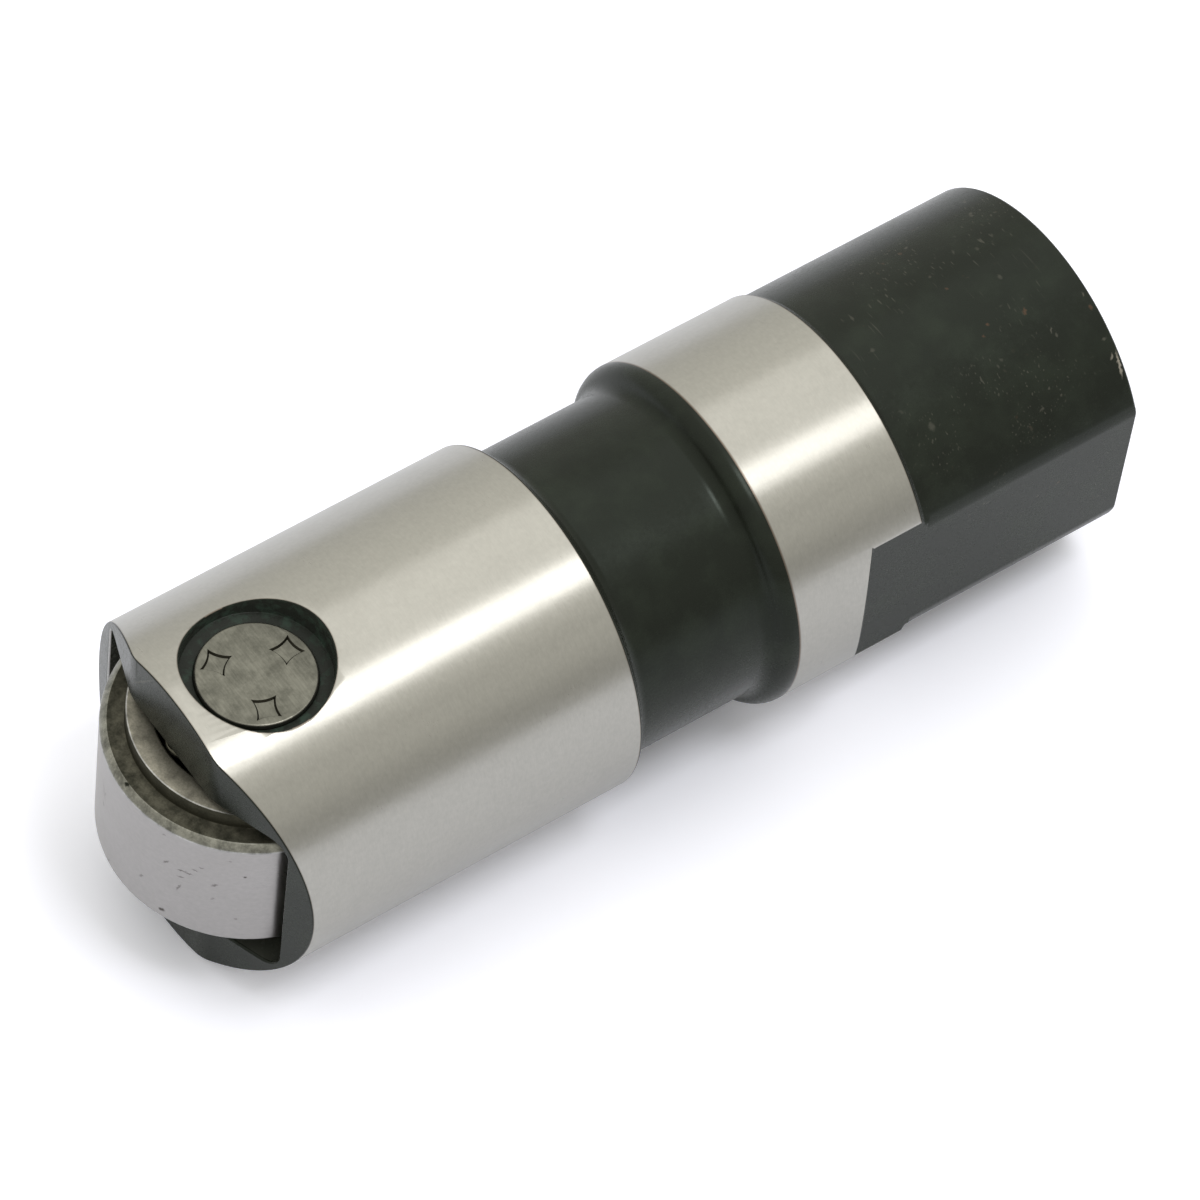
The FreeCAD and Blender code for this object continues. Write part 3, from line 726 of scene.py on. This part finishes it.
        # Rings each millimetre along the axle's hole keep the faces that meet it short
        by_axle = [(sizes.land_radius, sizes.counterbore_bottom + step * MM) for step in range(8)]
        return [(sizes.relief_radius - sizes.rim_chamfer, 0),
                (sizes.relief_radius, sizes.rim_chamfer),
                (sizes.relief_radius, sizes.land_start - (sizes.land_radius - sizes.relief_radius)),
                (sizes.land_radius, sizes.land_start),
                *shoulder,
                (sizes.neck_radius, sizes.feed_hole_height - 2 * sizes.feed_hole_radius),
                (sizes.neck_radius, sizes.feed_hole_height + 2 * sizes.feed_hole_radius),
                *foot,
                (sizes.land_radius, sizes.lower_start + depth - sizes.neck_fillet),
                *by_axle,
                (sizes.land_radius, sizes.ear_tip + MM)]

    @staticmethod
    def inside(sizes):
        """The bore with its mouth's chamfer and the ring's groove."""
        play = 0.05 * MM
        groove_start = sizes.ring_start - play
        groove_end = sizes.ring_start + sizes.ring_thickness + play
        below = 1.0 * MM
        return [(sizes.bore_radius + sizes.mouth_chamfer + below, -below),
                (sizes.bore_radius, sizes.mouth_chamfer),
                (sizes.bore_radius, groove_start),
                (sizes.groove_radius, groove_start),
                (sizes.groove_radius, groove_end),
                (sizes.bore_radius, groove_end),
                (sizes.bore_radius, sizes.bore_end)]

    @staticmethod
    def flat_cutter(sizes, side):
        """A block as deep as one flat, with its end sloped as the mill left it."""
        size = 2 * sizes.land_radius
        near, far = sorted((side * sizes.flat_half, side * (sizes.flat_half + size)))
        cutter = block("flat_cutter", (near, -size, -size), (far, size, sizes.flat_length))
        shift_corners(cutter, (0, 0, size * math.tan(sizes.flat_end_slope)),
                      lambda place: place.z > 0 and abs(place.x) > sizes.flat_half + size / 2)
        return cutter

    def side_cutter(self, sizes, side):
        """What tumbling took off both long edges of a flat, beside the open end only."""
        size = 2 * sizes.land_radius
        half = math.sqrt(sizes.relief_radius ** 2 - sizes.flat_half ** 2)
        inner = sizes.flat_half + 0.002 * MM
        near, far = sorted((side * inner, side * (inner + size)))
        cutter = block("side_cutter", (near, -size, -size), (far, size, size))
        for across in (-half, half):
            sliced(cutter, (0, across, 0), (0, 1, 0))
        shift_corners(cutter, (-side * (size - half) * half / sizes.flat_half, 0, 0),
                      lambda place: abs(place.x) < inner + MM and abs(place.y) > size - MM)
        # The cutter's end leans, so that the rounding runs out in a slope
        sliced(cutter, (side * inner, 0, self.side_end(sizes)), (-3 * side, 0, 1), clear_outer=True,
               use_fill=True)
        bevel_edges(cutter, sizes.flat_break, 4, lambda *ends: abs(ends[0].z - ends[1].z) > size and all(
            abs(abs(end.x) - inner) < MM and abs(abs(end.y) - half) < MM for end in ends))
        return cutter

    @staticmethod
    def ears_cutter(sizes):
        """What the mill takes off the ears' ends: flat above the axle, falling away to both sides."""
        size = 2 * sizes.land_radius
        cutter = block("ears_cutter", (-size, -size, sizes.ear_tip), (size, size, sizes.ear_tip + size))
        for across in (-sizes.tip_half, sizes.tip_half):
            sliced(cutter, (across, 0, 0), (1, 0, 0))
        shift_corners(cutter, (0, 0, -(size - sizes.tip_half) * math.tan(sizes.bevel_angle)),
                      lambda place: place.z < sizes.ear_tip + MM and abs(place.x) > size - MM)
        bevel_edges(cutter, sizes.bevel_blend, 4, lambda *ends: abs(ends[0].y - ends[1].y) > size and all(
            abs(end.z - sizes.ear_tip) < MM and abs(end.x) < size / 2 for end in ends))
        return cutter

    @staticmethod
    def pocket_cutter(sizes):
        """The pocket: a block with all its edges rounded, and the half-round floor below the axle."""
        size = sizes.land_radius
        half, width, top = sizes.pocket_half_length, sizes.pocket_half_width, sizes.ear_tip + size
        cutter = block("pocket_cutter", (-half, -width, sizes.axle_height - half), (half, width, top))
        bevel_edges(cutter, sizes.pocket_corner, 8, lambda one, other: True)
        far = width + size
        floor = turned("floor_keeper", [(half, -far), (half, far)], sizes.turns, tilt=math.pi / 2)
        moved(floor, (0, 0, sizes.axle_height))
        above = block("above_keeper", (-size, -far, sizes.axle_height), (size, far, top + size))
        cut(floor, above, "UNION")
        cut(cutter, floor, "INTERSECT")
        return cutter

    @staticmethod
    def axle_cutter(sizes):
        """The axle's hole through both ears, and its counterbores."""
        far = 2 * sizes.land_radius
        # A hair's play round the axle, so that its surface and the hole's don't fall together
        hole = sizes.axle_radius + 0.01 * MM
        rings = [(sizes.counterbore_radius, -far), (sizes.counterbore_radius, -sizes.counterbore_floor),
                 (hole, -sizes.counterbore_floor), (hole, sizes.counterbore_floor),
                 (sizes.counterbore_radius, sizes.counterbore_floor), (sizes.counterbore_radius, far)]
        return moved(turned("axle_cutter", rings, AXLE_TURNS, tilt=math.pi / 2), (0, 0, sizes.axle_height))


class LIFTER_OT_roller(bpy.types.Operator):
    """Turn the cam roller with its chamfered rims, recessed sides and raised hubs"""
    bl_idname = "lifter.roller"
    bl_label = "Cam roller"

    def execute(self, context):
        sizes = context.scene.lifter_sizes
        colours = context.scene.lifter_colours
        rim = sizes.roller_half + sizes.roller_chamfer
        half = [(sizes.roller_radius, sizes.roller_half), (sizes.roller_radius - sizes.roller_chamfer, rim),
                (sizes.hub_radius, rim), (sizes.hub_radius, sizes.hub_half),
                (sizes.roller_bore, sizes.hub_half)]
        rings = [(radius, -height) for radius, height in reversed(half)] + half
        rings.append(rings[0])
        roller = turned("cam_roller_body", rings, sizes.turns, tilt=math.pi / 2)
        moved(roller, (0, sizes.roller_shift, sizes.axle_height))
        soften(roller, 0.10 * MM)
        dress(roller, "cam_roller", "ground_roller_steel", "roller",
              # A pale tread that mirrors the table, with dark pits and short scratches
              ground_steel("ground_roller_tread", colours.tread, sizes, colours, lines="Y", marks=TREAD_PITS),
              # Brown-grey sides with blotches of dried oil and no shine
              plain_steel("oiled_turned_steel", colours.recess, (0.60, 0.75), colours.soot, 0.70),
              # Dull warm grey faces with a few clouds of oil
              plain_steel("dull_hub_steel", colours.hub, (0.50, 0.65), colours.soot, 0.45),
              # Mottled rims, darkened in patches, with one pit
              plain_steel("scuffed_rim_steel", colours.chamfer, (0.30, 0.45), colours.soot, 0.6,
                          marks=RIM_PITS),
              # Thin bright lines where edges rub, partly wear and partly painted highlights
              plain_steel("worn_rim_painted_highlight", colours.edge, (0.28, 0.40), colours.soot, 0.55),
              # Painted shade: a dark band under each hub's bright edge, with clouds of old oil
              plain_steel("sooty_and_shaded_hub_wall", colours.hub_wall_shade, (0.5, 0.6), colours.soot, 0.4))
        sides, hubs, rims, wear_and_highlight, shaded_walls = range(1, 6)
        inside_rim = sizes.roller_radius - sizes.roller_chamfer - 0.03 * MM

        def radius(centre):
            return math.hypot(centre.x, centre.z - sizes.axle_height)

        def across(centre):
            return abs(centre.y - sizes.roller_shift)

        paint(roller, sides, lambda centre, normal: radius(centre) < inside_rim)
        paint(roller, hubs, lambda centre, normal: abs(normal.y) > 0.97 and radius(centre) < sizes.hub_radius)
        # Painted shade: the hubs' round sides get the dark band
        paint(roller, shaded_walls, lambda centre, normal: abs(normal.y) < 0.5
              and sizes.hub_radius - 0.2 * MM < radius(centre) < sizes.hub_radius + 0.03 * MM)
        # Painted highlight, with wear: the hubs' edges and the tread's rims are made bright
        paint(roller, wear_and_highlight, lambda centre, normal: 0.6 < abs(normal.y) < 0.97
              and abs(radius(centre) - sizes.hub_radius) < 0.12 * MM
              and abs(across(centre) - sizes.hub_half) < 0.12 * MM)
        paint(roller, rims, lambda centre, normal: across(centre) > sizes.roller_half
              and radius(centre) > inside_rim)
        paint(roller, wear_and_highlight, lambda centre, normal: abs(across(centre) - sizes.roller_half) < 0.07 * MM
              and radius(centre) > sizes.roller_radius - 0.07 * MM and 0.1 < abs(normal.y) < 0.45)
        return {"FINISHED"}


class LIFTER_OT_axle(bpy.types.Operator):
    """Turn the axle, and punch the stake marks into both of its ends"""
    bl_idname = "lifter.axle"
    bl_label = "Staked axle"

    def execute(self, context):
        sizes = context.scene.lifter_sizes
        colours = context.scene.lifter_colours
        steps = 5
        quarter = [math.pi / 2 * step / steps for step in range(steps + 1)]
        round_over = [(sizes.axle_radius - sizes.axle_break * (1 - math.cos(angle)),
                       sizes.axle_half - sizes.axle_break * (1 - math.sin(angle))) for angle in quarter]
        rings = [(radius, -height) for radius, height in reversed(round_over)] + round_over
        axle = turned("staked_axle", rings, AXLE_TURNS, tilt=math.pi / 2)
        for end in (-1, 1):
            for index in range(3):
                cut(axle, self.stake_cutter(sizes, end, index))
        moved(axle, (0, 0, sizes.axle_height))
        smooth(axle)
        dress(axle, "body", "axle_steel", "roller_axle",
              # Grey ends with faint straight brushing and clouds of oil
              plain_steel("faced_axle_steel", colours.axle, (0.36, 0.48), colours.soot, 0.35,
                          stretch=(0.1, 1.0, 1.0)),
              # Painted shade: thin dark outlines on the stake marks' sides
              plain_steel("stake_walls_painted_shade", colours.stake, (0.4, 0.5)),
              # A paler line round the axle's ends, partly wear and partly a painted highlight
              plain_steel("worn_axle_rim_painted_highlight", colours.axle_rim, (0.34, 0.46), colours.soot, 0.5))
        shaded_walls, rims = 1, 2

        def radius(centre):
            return math.hypot(centre.x, centre.z - sizes.axle_height)

        # Partly wear and partly a painted highlight: the axle's rounded ends are made paler
        paint(axle, rims, lambda centre, normal: 0.2 < abs(normal.y) < 0.98
              and radius(centre) > sizes.axle_radius - 0.2 * MM)
        # Painted shade: the stake marks' sides are made dark
        paint(axle, shaded_walls, lambda centre, normal: abs(normal.y) < 0.98
              and radius(centre) < sizes.axle_radius - 0.1 * MM)
        return {"FINISHED"}

    @staticmethod
    def stake_cutter(sizes, end, index):
        """A square punch with hollow sides, narrower at its tip."""
        above, taper = 0.05 * MM, 0.78
        bpy.ops.object.select_all(action="DESELECT")
        bpy.ops.mesh.primitive_grid_add(x_subdivisions=8, y_subdivisions=8, size=2 * sizes.stake_half)
        punch = new_piece("stake_cutter")
        bpy.ops.transform.translate(value=(0, 0, -above))
        bpy.ops.mesh.extrude_region_move(TRANSFORM_OT_translate={"value": (0, 0, above + sizes.stake_depth)})
        bpy.ops.transform.resize(value=(taper, taper, 1), center_override=(0, 0, sizes.stake_depth))
        bpy.ops.object.mode_set(mode="OBJECT")
        for corner in punch.data.vertices:
            across, along = corner.co.x / sizes.stake_half, corner.co.y / sizes.stake_half
            corner.co.x *= 1 - sizes.stake_hollow / sizes.stake_half * (1 - min(along ** 2, 1.0))
            corner.co.y *= 1 - sizes.stake_hollow / sizes.stake_half * (1 - min(across ** 2, 1.0))
        bpy.ops.object.mode_set(mode="EDIT")
        close_piece(punch)
        # Three marks a third of a turn apart, the first 40 degrees up from +X
        angle = math.radians(40.0 + 120.0 * index)
        out = Vector((math.cos(angle), 0, math.sin(angle)))
        inwards = Vector((0, -end, 0))
        turn = Matrix((out, inwards.cross(out), inwards)).transposed().to_4x4()
        punch.matrix_world = Matrix.Translation(out * sizes.stake_centre - inwards * sizes.axle_half) @ turn
        return settle(punch)


class LIFTER_OT_cup(bpy.types.Operator):
    """Turn the pushrod cup and bend the retaining ring in front of it"""
    bl_idname = "lifter.cup"
    bl_label = "Pushrod cup and retaining ring"

    def execute(self, context):
        sizes = context.scene.lifter_sizes
        colours = context.scene.lifter_colours
        centre = sizes.seat_start + sizes.cup_depth - sizes.cup_radius
        lowest = math.acos(sizes.oil_radius / sizes.cup_radius)
        mouth = math.asin((sizes.seat_start + sizes.cup_chamfer - centre) / sizes.cup_radius)
        steps = 16
        angles = [lowest + (mouth - lowest) * step / steps for step in range(steps + 1)]
        bowl = [(sizes.cup_radius * math.cos(angle), centre + sizes.cup_radius * math.sin(angle))
                for angle in angles]
        cone = (bowl[-1][0] + sizes.cup_chamfer, sizes.seat_start)
        rings = [(sizes.oil_radius, sizes.disc_floor), *bowl, cone, (sizes.seat_radius, sizes.seat_start),
                 (sizes.seat_radius, sizes.seat_end), (sizes.disc_radius, sizes.seat_end),
                 (sizes.disc_radius, sizes.disc_floor), (sizes.oil_radius, sizes.disc_floor)]
        cup = turned("pushrod_cup_body", rings, sizes.turns)
        soften(cup, 0.06 * MM)
        dress(cup, "plunger_group", "hardened_steel", "pushrod_seat",
              # Clean grey steel, satin where the pushrod's ball has polished it
              plain_steel("hardened_cup_steel", colours.inner, (0.25, 0.4)))
        self.ring(sizes, colours)
        return {"FINISHED"}

    @staticmethod
    def ring(sizes, colours):
        """The retaining ring's flat section, spun round to leave a gap of 48 degrees at its ends."""
        sweep, start = math.radians(312), math.radians(114)
        middle = (sizes.ring_inside + sizes.ring_outside) / 2
        bpy.ops.object.select_all(action="DESELECT")
        bpy.ops.mesh.primitive_plane_add(size=1, location=(0, 0, 0), rotation=(math.pi / 2, 0, 0))
        ring = new_piece("bent_ring")
        bpy.ops.transform.resize(value=(sizes.ring_outside - sizes.ring_inside, 1, sizes.ring_thickness),
                                 center_override=(0, 0, 0))
        bpy.ops.transform.translate(value=(middle, 0, sizes.ring_start + sizes.ring_thickness / 2))
        bpy.ops.mesh.spin(steps=RING_STEPS, angle=sweep, center=(0, 0, 0), axis=(0, 0, 1))
        close_piece(ring)
        ring.rotation_euler = (0, 0, start)
        settle(ring)
        soften(ring, 0.08 * MM)
        dress(ring, "body", "spring_steel", "retaining_ring",
              # Dark grey spring steel with a soft shine
              plain_steel("oil_tempered_ring", colours.spring, (0.35, 0.5)))


class LIFTER_OT_springs(bpy.types.Operator):
    """Wind the return spring and the check valve's spring"""
    bl_idname = "lifter.springs"
    bl_label = "Springs"

    def execute(self, context):
        sizes = context.scene.lifter_sizes
        colours = context.scene.lifter_colours
        # Dark grey wire with a soft shine along its back
        wire = plain_steel("oil_tempered_wire", colours.spring, (0.3, 0.4))
        self.spring("return_spring", "body", "plunger_slide", wire, sizes.return_coil_radius,
                    sizes.return_wire_radius, half_turns=7)
        self.spring("check_spring", "plunger_group", "check_ball_lift", wire, sizes.check_coil_radius,
                    sizes.check_wire_radius, half_turns=5)
        return {"FINISHED"}

    @staticmethod
    def spring(node, body, joint, material, coil_radius, wire_radius, half_turns):
        """Round wire wound between the solid's ends, ground flat at both; joint is not used."""
        low, high = (corner[2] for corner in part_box(node))
        bpy.ops.object.select_all(action="DESELECT")
        bpy.ops.mesh.primitive_circle_add(vertices=WIRE_TURNS, radius=wire_radius,
                                          location=(coil_radius, 0, low), rotation=(math.pi / 2, 0, 0))
        piece = bpy.context.object
        piece.name = piece.data.name = "wound_" + node
        settle(piece)
        finish_modifier(piece, "SCREW", axis="Z", angle=math.pi, screw_offset=(high - low) / half_turns,
                        iterations=half_turns, steps=COIL_STEPS, render_steps=COIL_STEPS)
        bpy.ops.object.mode_set(mode="EDIT")
        bpy.ops.mesh.select_all(action="SELECT")
        bpy.ops.mesh.fill_holes(sides=0)
        close_piece(piece)
        size = 2 * coil_radius
        cut(piece, block("end_grinder", (-size, -size, low - size), (size, size, low)))
        cut(piece, block("end_grinder", (-size, -size, high), (size, size, high + size)))
        smooth(piece)
        dress(piece, body, "spring_steel", node, material)
        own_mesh(piece)


class LIFTER_OT_inner_works(bpy.types.Operator):
    """Finish the pieces inside: plunger, disc, cage, ball and needles"""
    bl_idname = "lifter.inner_works"
    bl_label = "Inner works"

    def execute(self, context):
        colours = context.scene.lifter_colours
        self.needles(context.scene.lifter_sizes, colours)
        # Bright, with an even shine
        ground = plain_steel("fine_ground_plunger", colours.ground, (0.2, 0.3))
        # Grey and satin, as sheet metal is
        pressed = plain_steel("pressed_sheet_steel", colours.inner, (0.3, 0.45))
        # A clear mirror
        polished = plain_steel("polished_bearing_steel", colours.ground, (0.08, 0.14))
        finishes = {"plunger": ground, "metering_disc": pressed, "check_cage": pressed,
                    "check_ball": polished}
        for name, material in finishes.items():
            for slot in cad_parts[name].material_slots:
                slot.material = material
        return {"FINISHED"}

    @staticmethod
    def needles(sizes, colours):
        """One needle with rounded ends, copied to each needle's place."""
        names = sorted(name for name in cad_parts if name.startswith("needle"))
        low, high = (Vector(corner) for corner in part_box(names[0]))
        half, round_end = (high.y - low.y) / 2, 0.25 * MM
        rings = [(sizes.needle_radius - round_end, -half), (sizes.needle_radius, -half + round_end),
                 (sizes.needle_radius, half - round_end), (sizes.needle_radius - round_end, half)]
        first = turned("needle_roller", rings, NEEDLE_TURNS, tilt=math.pi / 2)
        soften(first, 0.1 * MM)
        # Painted shade: dim needles, whose ends don't stand out in the dark gap past the hubs
        needle_shade = plain_steel("needle_steel_painted_shade", colours.recess, (0.25, 0.4))
        for name in names:
            low, high = (Vector(corner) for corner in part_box(name))
            needle = first.copy()
            needle.data = first.data.copy()
            needle.name = name + "_roller"
            bpy.context.scene.collection.objects.link(needle)
            moved(needle, (low + high) / 2)
            dress(needle, "needle_set", "ball_steel", name, needle_shade)
        bpy.data.objects.remove(first)


# Which way the table faces, and the directions from the lifter to the light
TABLE_UP = (0.030, -0.999, 0.0)
DOME_BRIGHTEST = (0.390, -0.920, 0.0)
SOFTBOX_TOWARDS = (-0.29, -0.95, -0.12)
SIDE_TOWARDS = (0.25, -0.93, -0.30)
# Two paler patches of the dome: direction, cosines at the outer and inner edge, and the strength added
PALE_PATCHES = (((-0.866, -0.500, 0.0), 0.966, 0.995, 0.17),
                ((-0.588, -0.809, 0.0), 0.988, 0.999, 0.12))
# The picture's right, the way back from the lifter to the camera, and its place, fitted to the photograph
CAMERA_ACROSS = (-0.5726, -0.0806, -0.8158)
CAMERA_BACK = (-0.4259, -0.8211, 0.3800)
CAMERA_PLACE = (-0.185646, -0.355734, 0.196034)


class LIFTER_OT_stage(bpy.types.Operator):
    """Lay the white table behind the lifter, and set up the soft light and the camera"""
    bl_idname = "lifter.stage"
    bl_label = "Table, light and camera"

    def execute(self, context):
        sizes = context.scene.lifter_sizes
        studio = context.scene.lifter_studio
        self.table(sizes, context.scene.lifter_colours, studio, Vector(TABLE_UP).normalized())
        self.dome(studio, Vector(DOME_BRIGHTEST).normalized())
        self.light("softbox", Vector(SOFTBOX_TOWARDS), studio.softbox_distance, studio.softbox_power,
                   studio.softbox_width, studio.softbox_length)
        self.light("side_panel", Vector(SIDE_TOWARDS), studio.softbox_distance, studio.side_power,
                   studio.side_width, studio.side_length)
        lens = bpy.data.cameras.new("camera")
        lens.sensor_width = 36.0
        lens.lens = studio.lens
        lens.clip_start = 0.01
        camera = bpy.data.objects.new("camera", lens)
        across, back = Vector(CAMERA_ACROSS).normalized(), Vector(CAMERA_BACK)
        back = (back - across * back.dot(across)).normalized()
        camera.matrix_world = Matrix((across, back.cross(across), back)).transposed().to_4x4()
        camera.location = CAMERA_PLACE
        context.scene.collection.objects.link(camera)
        context.scene.camera = camera
        context.scene.view_settings.view_transform = "Standard"
        return {"FINISHED"}

    @staticmethod
    def light(name, towards, distance, power, width, height):
        """An even rectangle of light that faces the lifter's middle, its height along the lifter's axis."""
        towards = towards.normalized()
        across = Vector((0, 0, 1)).cross(towards).normalized()
        light = bpy.data.lights.new(name, "AREA")
        light.shape = "RECTANGLE"
        light.size = width
        light.size_y = height
        light.energy = power
        box = bpy.data.objects.new(name, light)
        box.matrix_world = Matrix((across, towards.cross(across), towards)).transposed().to_4x4()
        box.location = Vector((0, 0, 32 * MM)) + towards * distance
        bpy.context.scene.collection.objects.link(box)

    @staticmethod
    def table(sizes, colours, studio, up):
        """A white sheet that the lifter's back almost touches, seen only from its front."""
        bpy.ops.object.select_all(action="DESELECT")
        bpy.ops.mesh.primitive_grid_add(x_subdivisions=4, y_subdivisions=4, size=6.0)
        table = bpy.context.object
        table.name = "table"
        table.rotation_euler = up.to_track_quat("Z", "Y").to_euler()
        table.location = up * -(sizes.land_radius + 0.05 * MM)
        settle(table)
        # White without a mirror image, so that the shadow falls softly
        material, add = new_material("matt_white_laminate")
        laminate = add("BsdfPrincipled", {"Base Color": colours.table[:], "Roughness": 0.6,
                                          "Specular IOR Level": 0.2})
        # The photograph exposes the table past white, and its image in the metal only a little
        rays = add("LightPath").node.outputs
        mirrored = add("Math", {0: rays["Is Glossy Ray"], 1: rays["Is Transmission Ray"]}, operation="ADD",
                       use_clamp=True)
        seen = add("Math", {0: mirrored, 1: 0.10, 2: rays["Is Camera Ray"]}, operation="MULTIPLY_ADD")
        extra = studio.table_gain - 1
        lift = add("MixShader", {0: seen, 1: add("BsdfDiffuse", {"Color": (0.0, 0.0, 0.0, 1.0)}),
                                 2: add("BsdfDiffuse", {"Color": (extra, extra * 0.98, extra * 1.12, 1.0)})})
        # From behind the sheet isn't there, so that the lifter's back can be looked at
        front = add("AddShader", {0: laminate, 1: lift})
        facing = add("NewGeometry", out="Backfacing")
        add("OutputMaterial", {"Surface": add("MixShader", {0: facing, 1: front, 2: add("BsdfTransparent")})})
        table.data.materials.append(material)

    @staticmethod
    def dome(studio, brightest):
        """A pale, slightly warm dome of light, brightest in one direction and dimmer towards the horizon."""
        world = bpy.data.worlds.new("studio_dome")
        bpy.context.scene.world = world
        world.use_nodes = True
        world.node_tree.nodes.clear()
        add = partial(add_node, world)
        direction = add("TexCoord", out="Generated")
        nearness = add("VectorMath", {0: direction, 1: brightest}, out="Value", operation="DOT_PRODUCT")
        strength = add("MapRange", {0: nearness, 3: studio.horizon, 4: studio.zenith})
        level = add("VectorMath", {0: direction, 1: (1.0, 1.0, 0.0)}, operation="MULTIPLY")
        # The patches fade out towards the dome's bottom and top
        reach = add("VectorMath", {0: level}, out="Value", operation="LENGTH")
        fade = add("MapRange", {0: reach, 1: 0.15, 2: 0.60})
        level = add("VectorMath", {0: level}, operation="NORMALIZE")
        for towards, outer, inner, change in PALE_PATCHES:
            patch = add("VectorMath", {0: level, 1: towards}, out="Value", operation="DOT_PRODUCT")
            patch = add("MapRange", {0: patch, 1: outer, 2: inner, 4: change})
            strength = add("Math", {0: patch, 1: fade, 2: strength}, operation="MULTIPLY_ADD")
        add("OutputWorld", {"Surface": add("Background", {"Color": linear("#FFFEF5"), "Strength": strength})})


class LIFTER_PT_panel(bpy.types.Panel):
    """Lists the lifter's steps, sizes, colours and studio"""
    bl_idname = "LIFTER_PT_panel"
    bl_label = "Roller valve lifter"
    bl_space_type = "VIEW_3D"
    bl_region_type = "UI"
    bl_category = "Lifter"

    def draw(self, context):
        layout = self.layout
        for operator in OPERATORS:
            layout.operator(operator.bl_idname)
        for group in (context.scene.lifter_studio, context.scene.lifter_colours, context.scene.lifter_sizes):
            column = layout.column(align=True)
            for name in group.__annotations__:
                column.prop(group, name)


OPERATORS = (LIFTER_OT_body, LIFTER_OT_roller, LIFTER_OT_axle, LIFTER_OT_cup, LIFTER_OT_springs,
             LIFTER_OT_inner_works, LIFTER_OT_stage)
CLASSES = (LifterSizes, LifterColours, LifterStudio, *OPERATORS, LIFTER_PT_panel)


def register():
    """Add the lifter's classes and its settings to Blender."""
    for item in CLASSES:
        bpy.utils.register_class(item)
    bpy.types.Scene.lifter_sizes = PointerProperty(type=LifterSizes)
    bpy.types.Scene.lifter_colours = PointerProperty(type=LifterColours)
    bpy.types.Scene.lifter_studio = PointerProperty(type=LifterStudio)


def unregister():
    """Take the lifter's classes and settings out again."""
    del bpy.types.Scene.lifter_studio
    del bpy.types.Scene.lifter_colours
    del bpy.types.Scene.lifter_sizes
    for item in reversed(CLASSES):
        bpy.utils.unregister_class(item)


def main():
    """Make every piece and the stage."""
    register()
    bpy.ops.lifter.body()
    bpy.ops.lifter.roller()
    bpy.ops.lifter.axle()
    bpy.ops.lifter.cup()
    bpy.ops.lifter.springs()
    bpy.ops.lifter.inner_works()
    bpy.ops.lifter.stage()


if __name__ == "__main__":
    main()
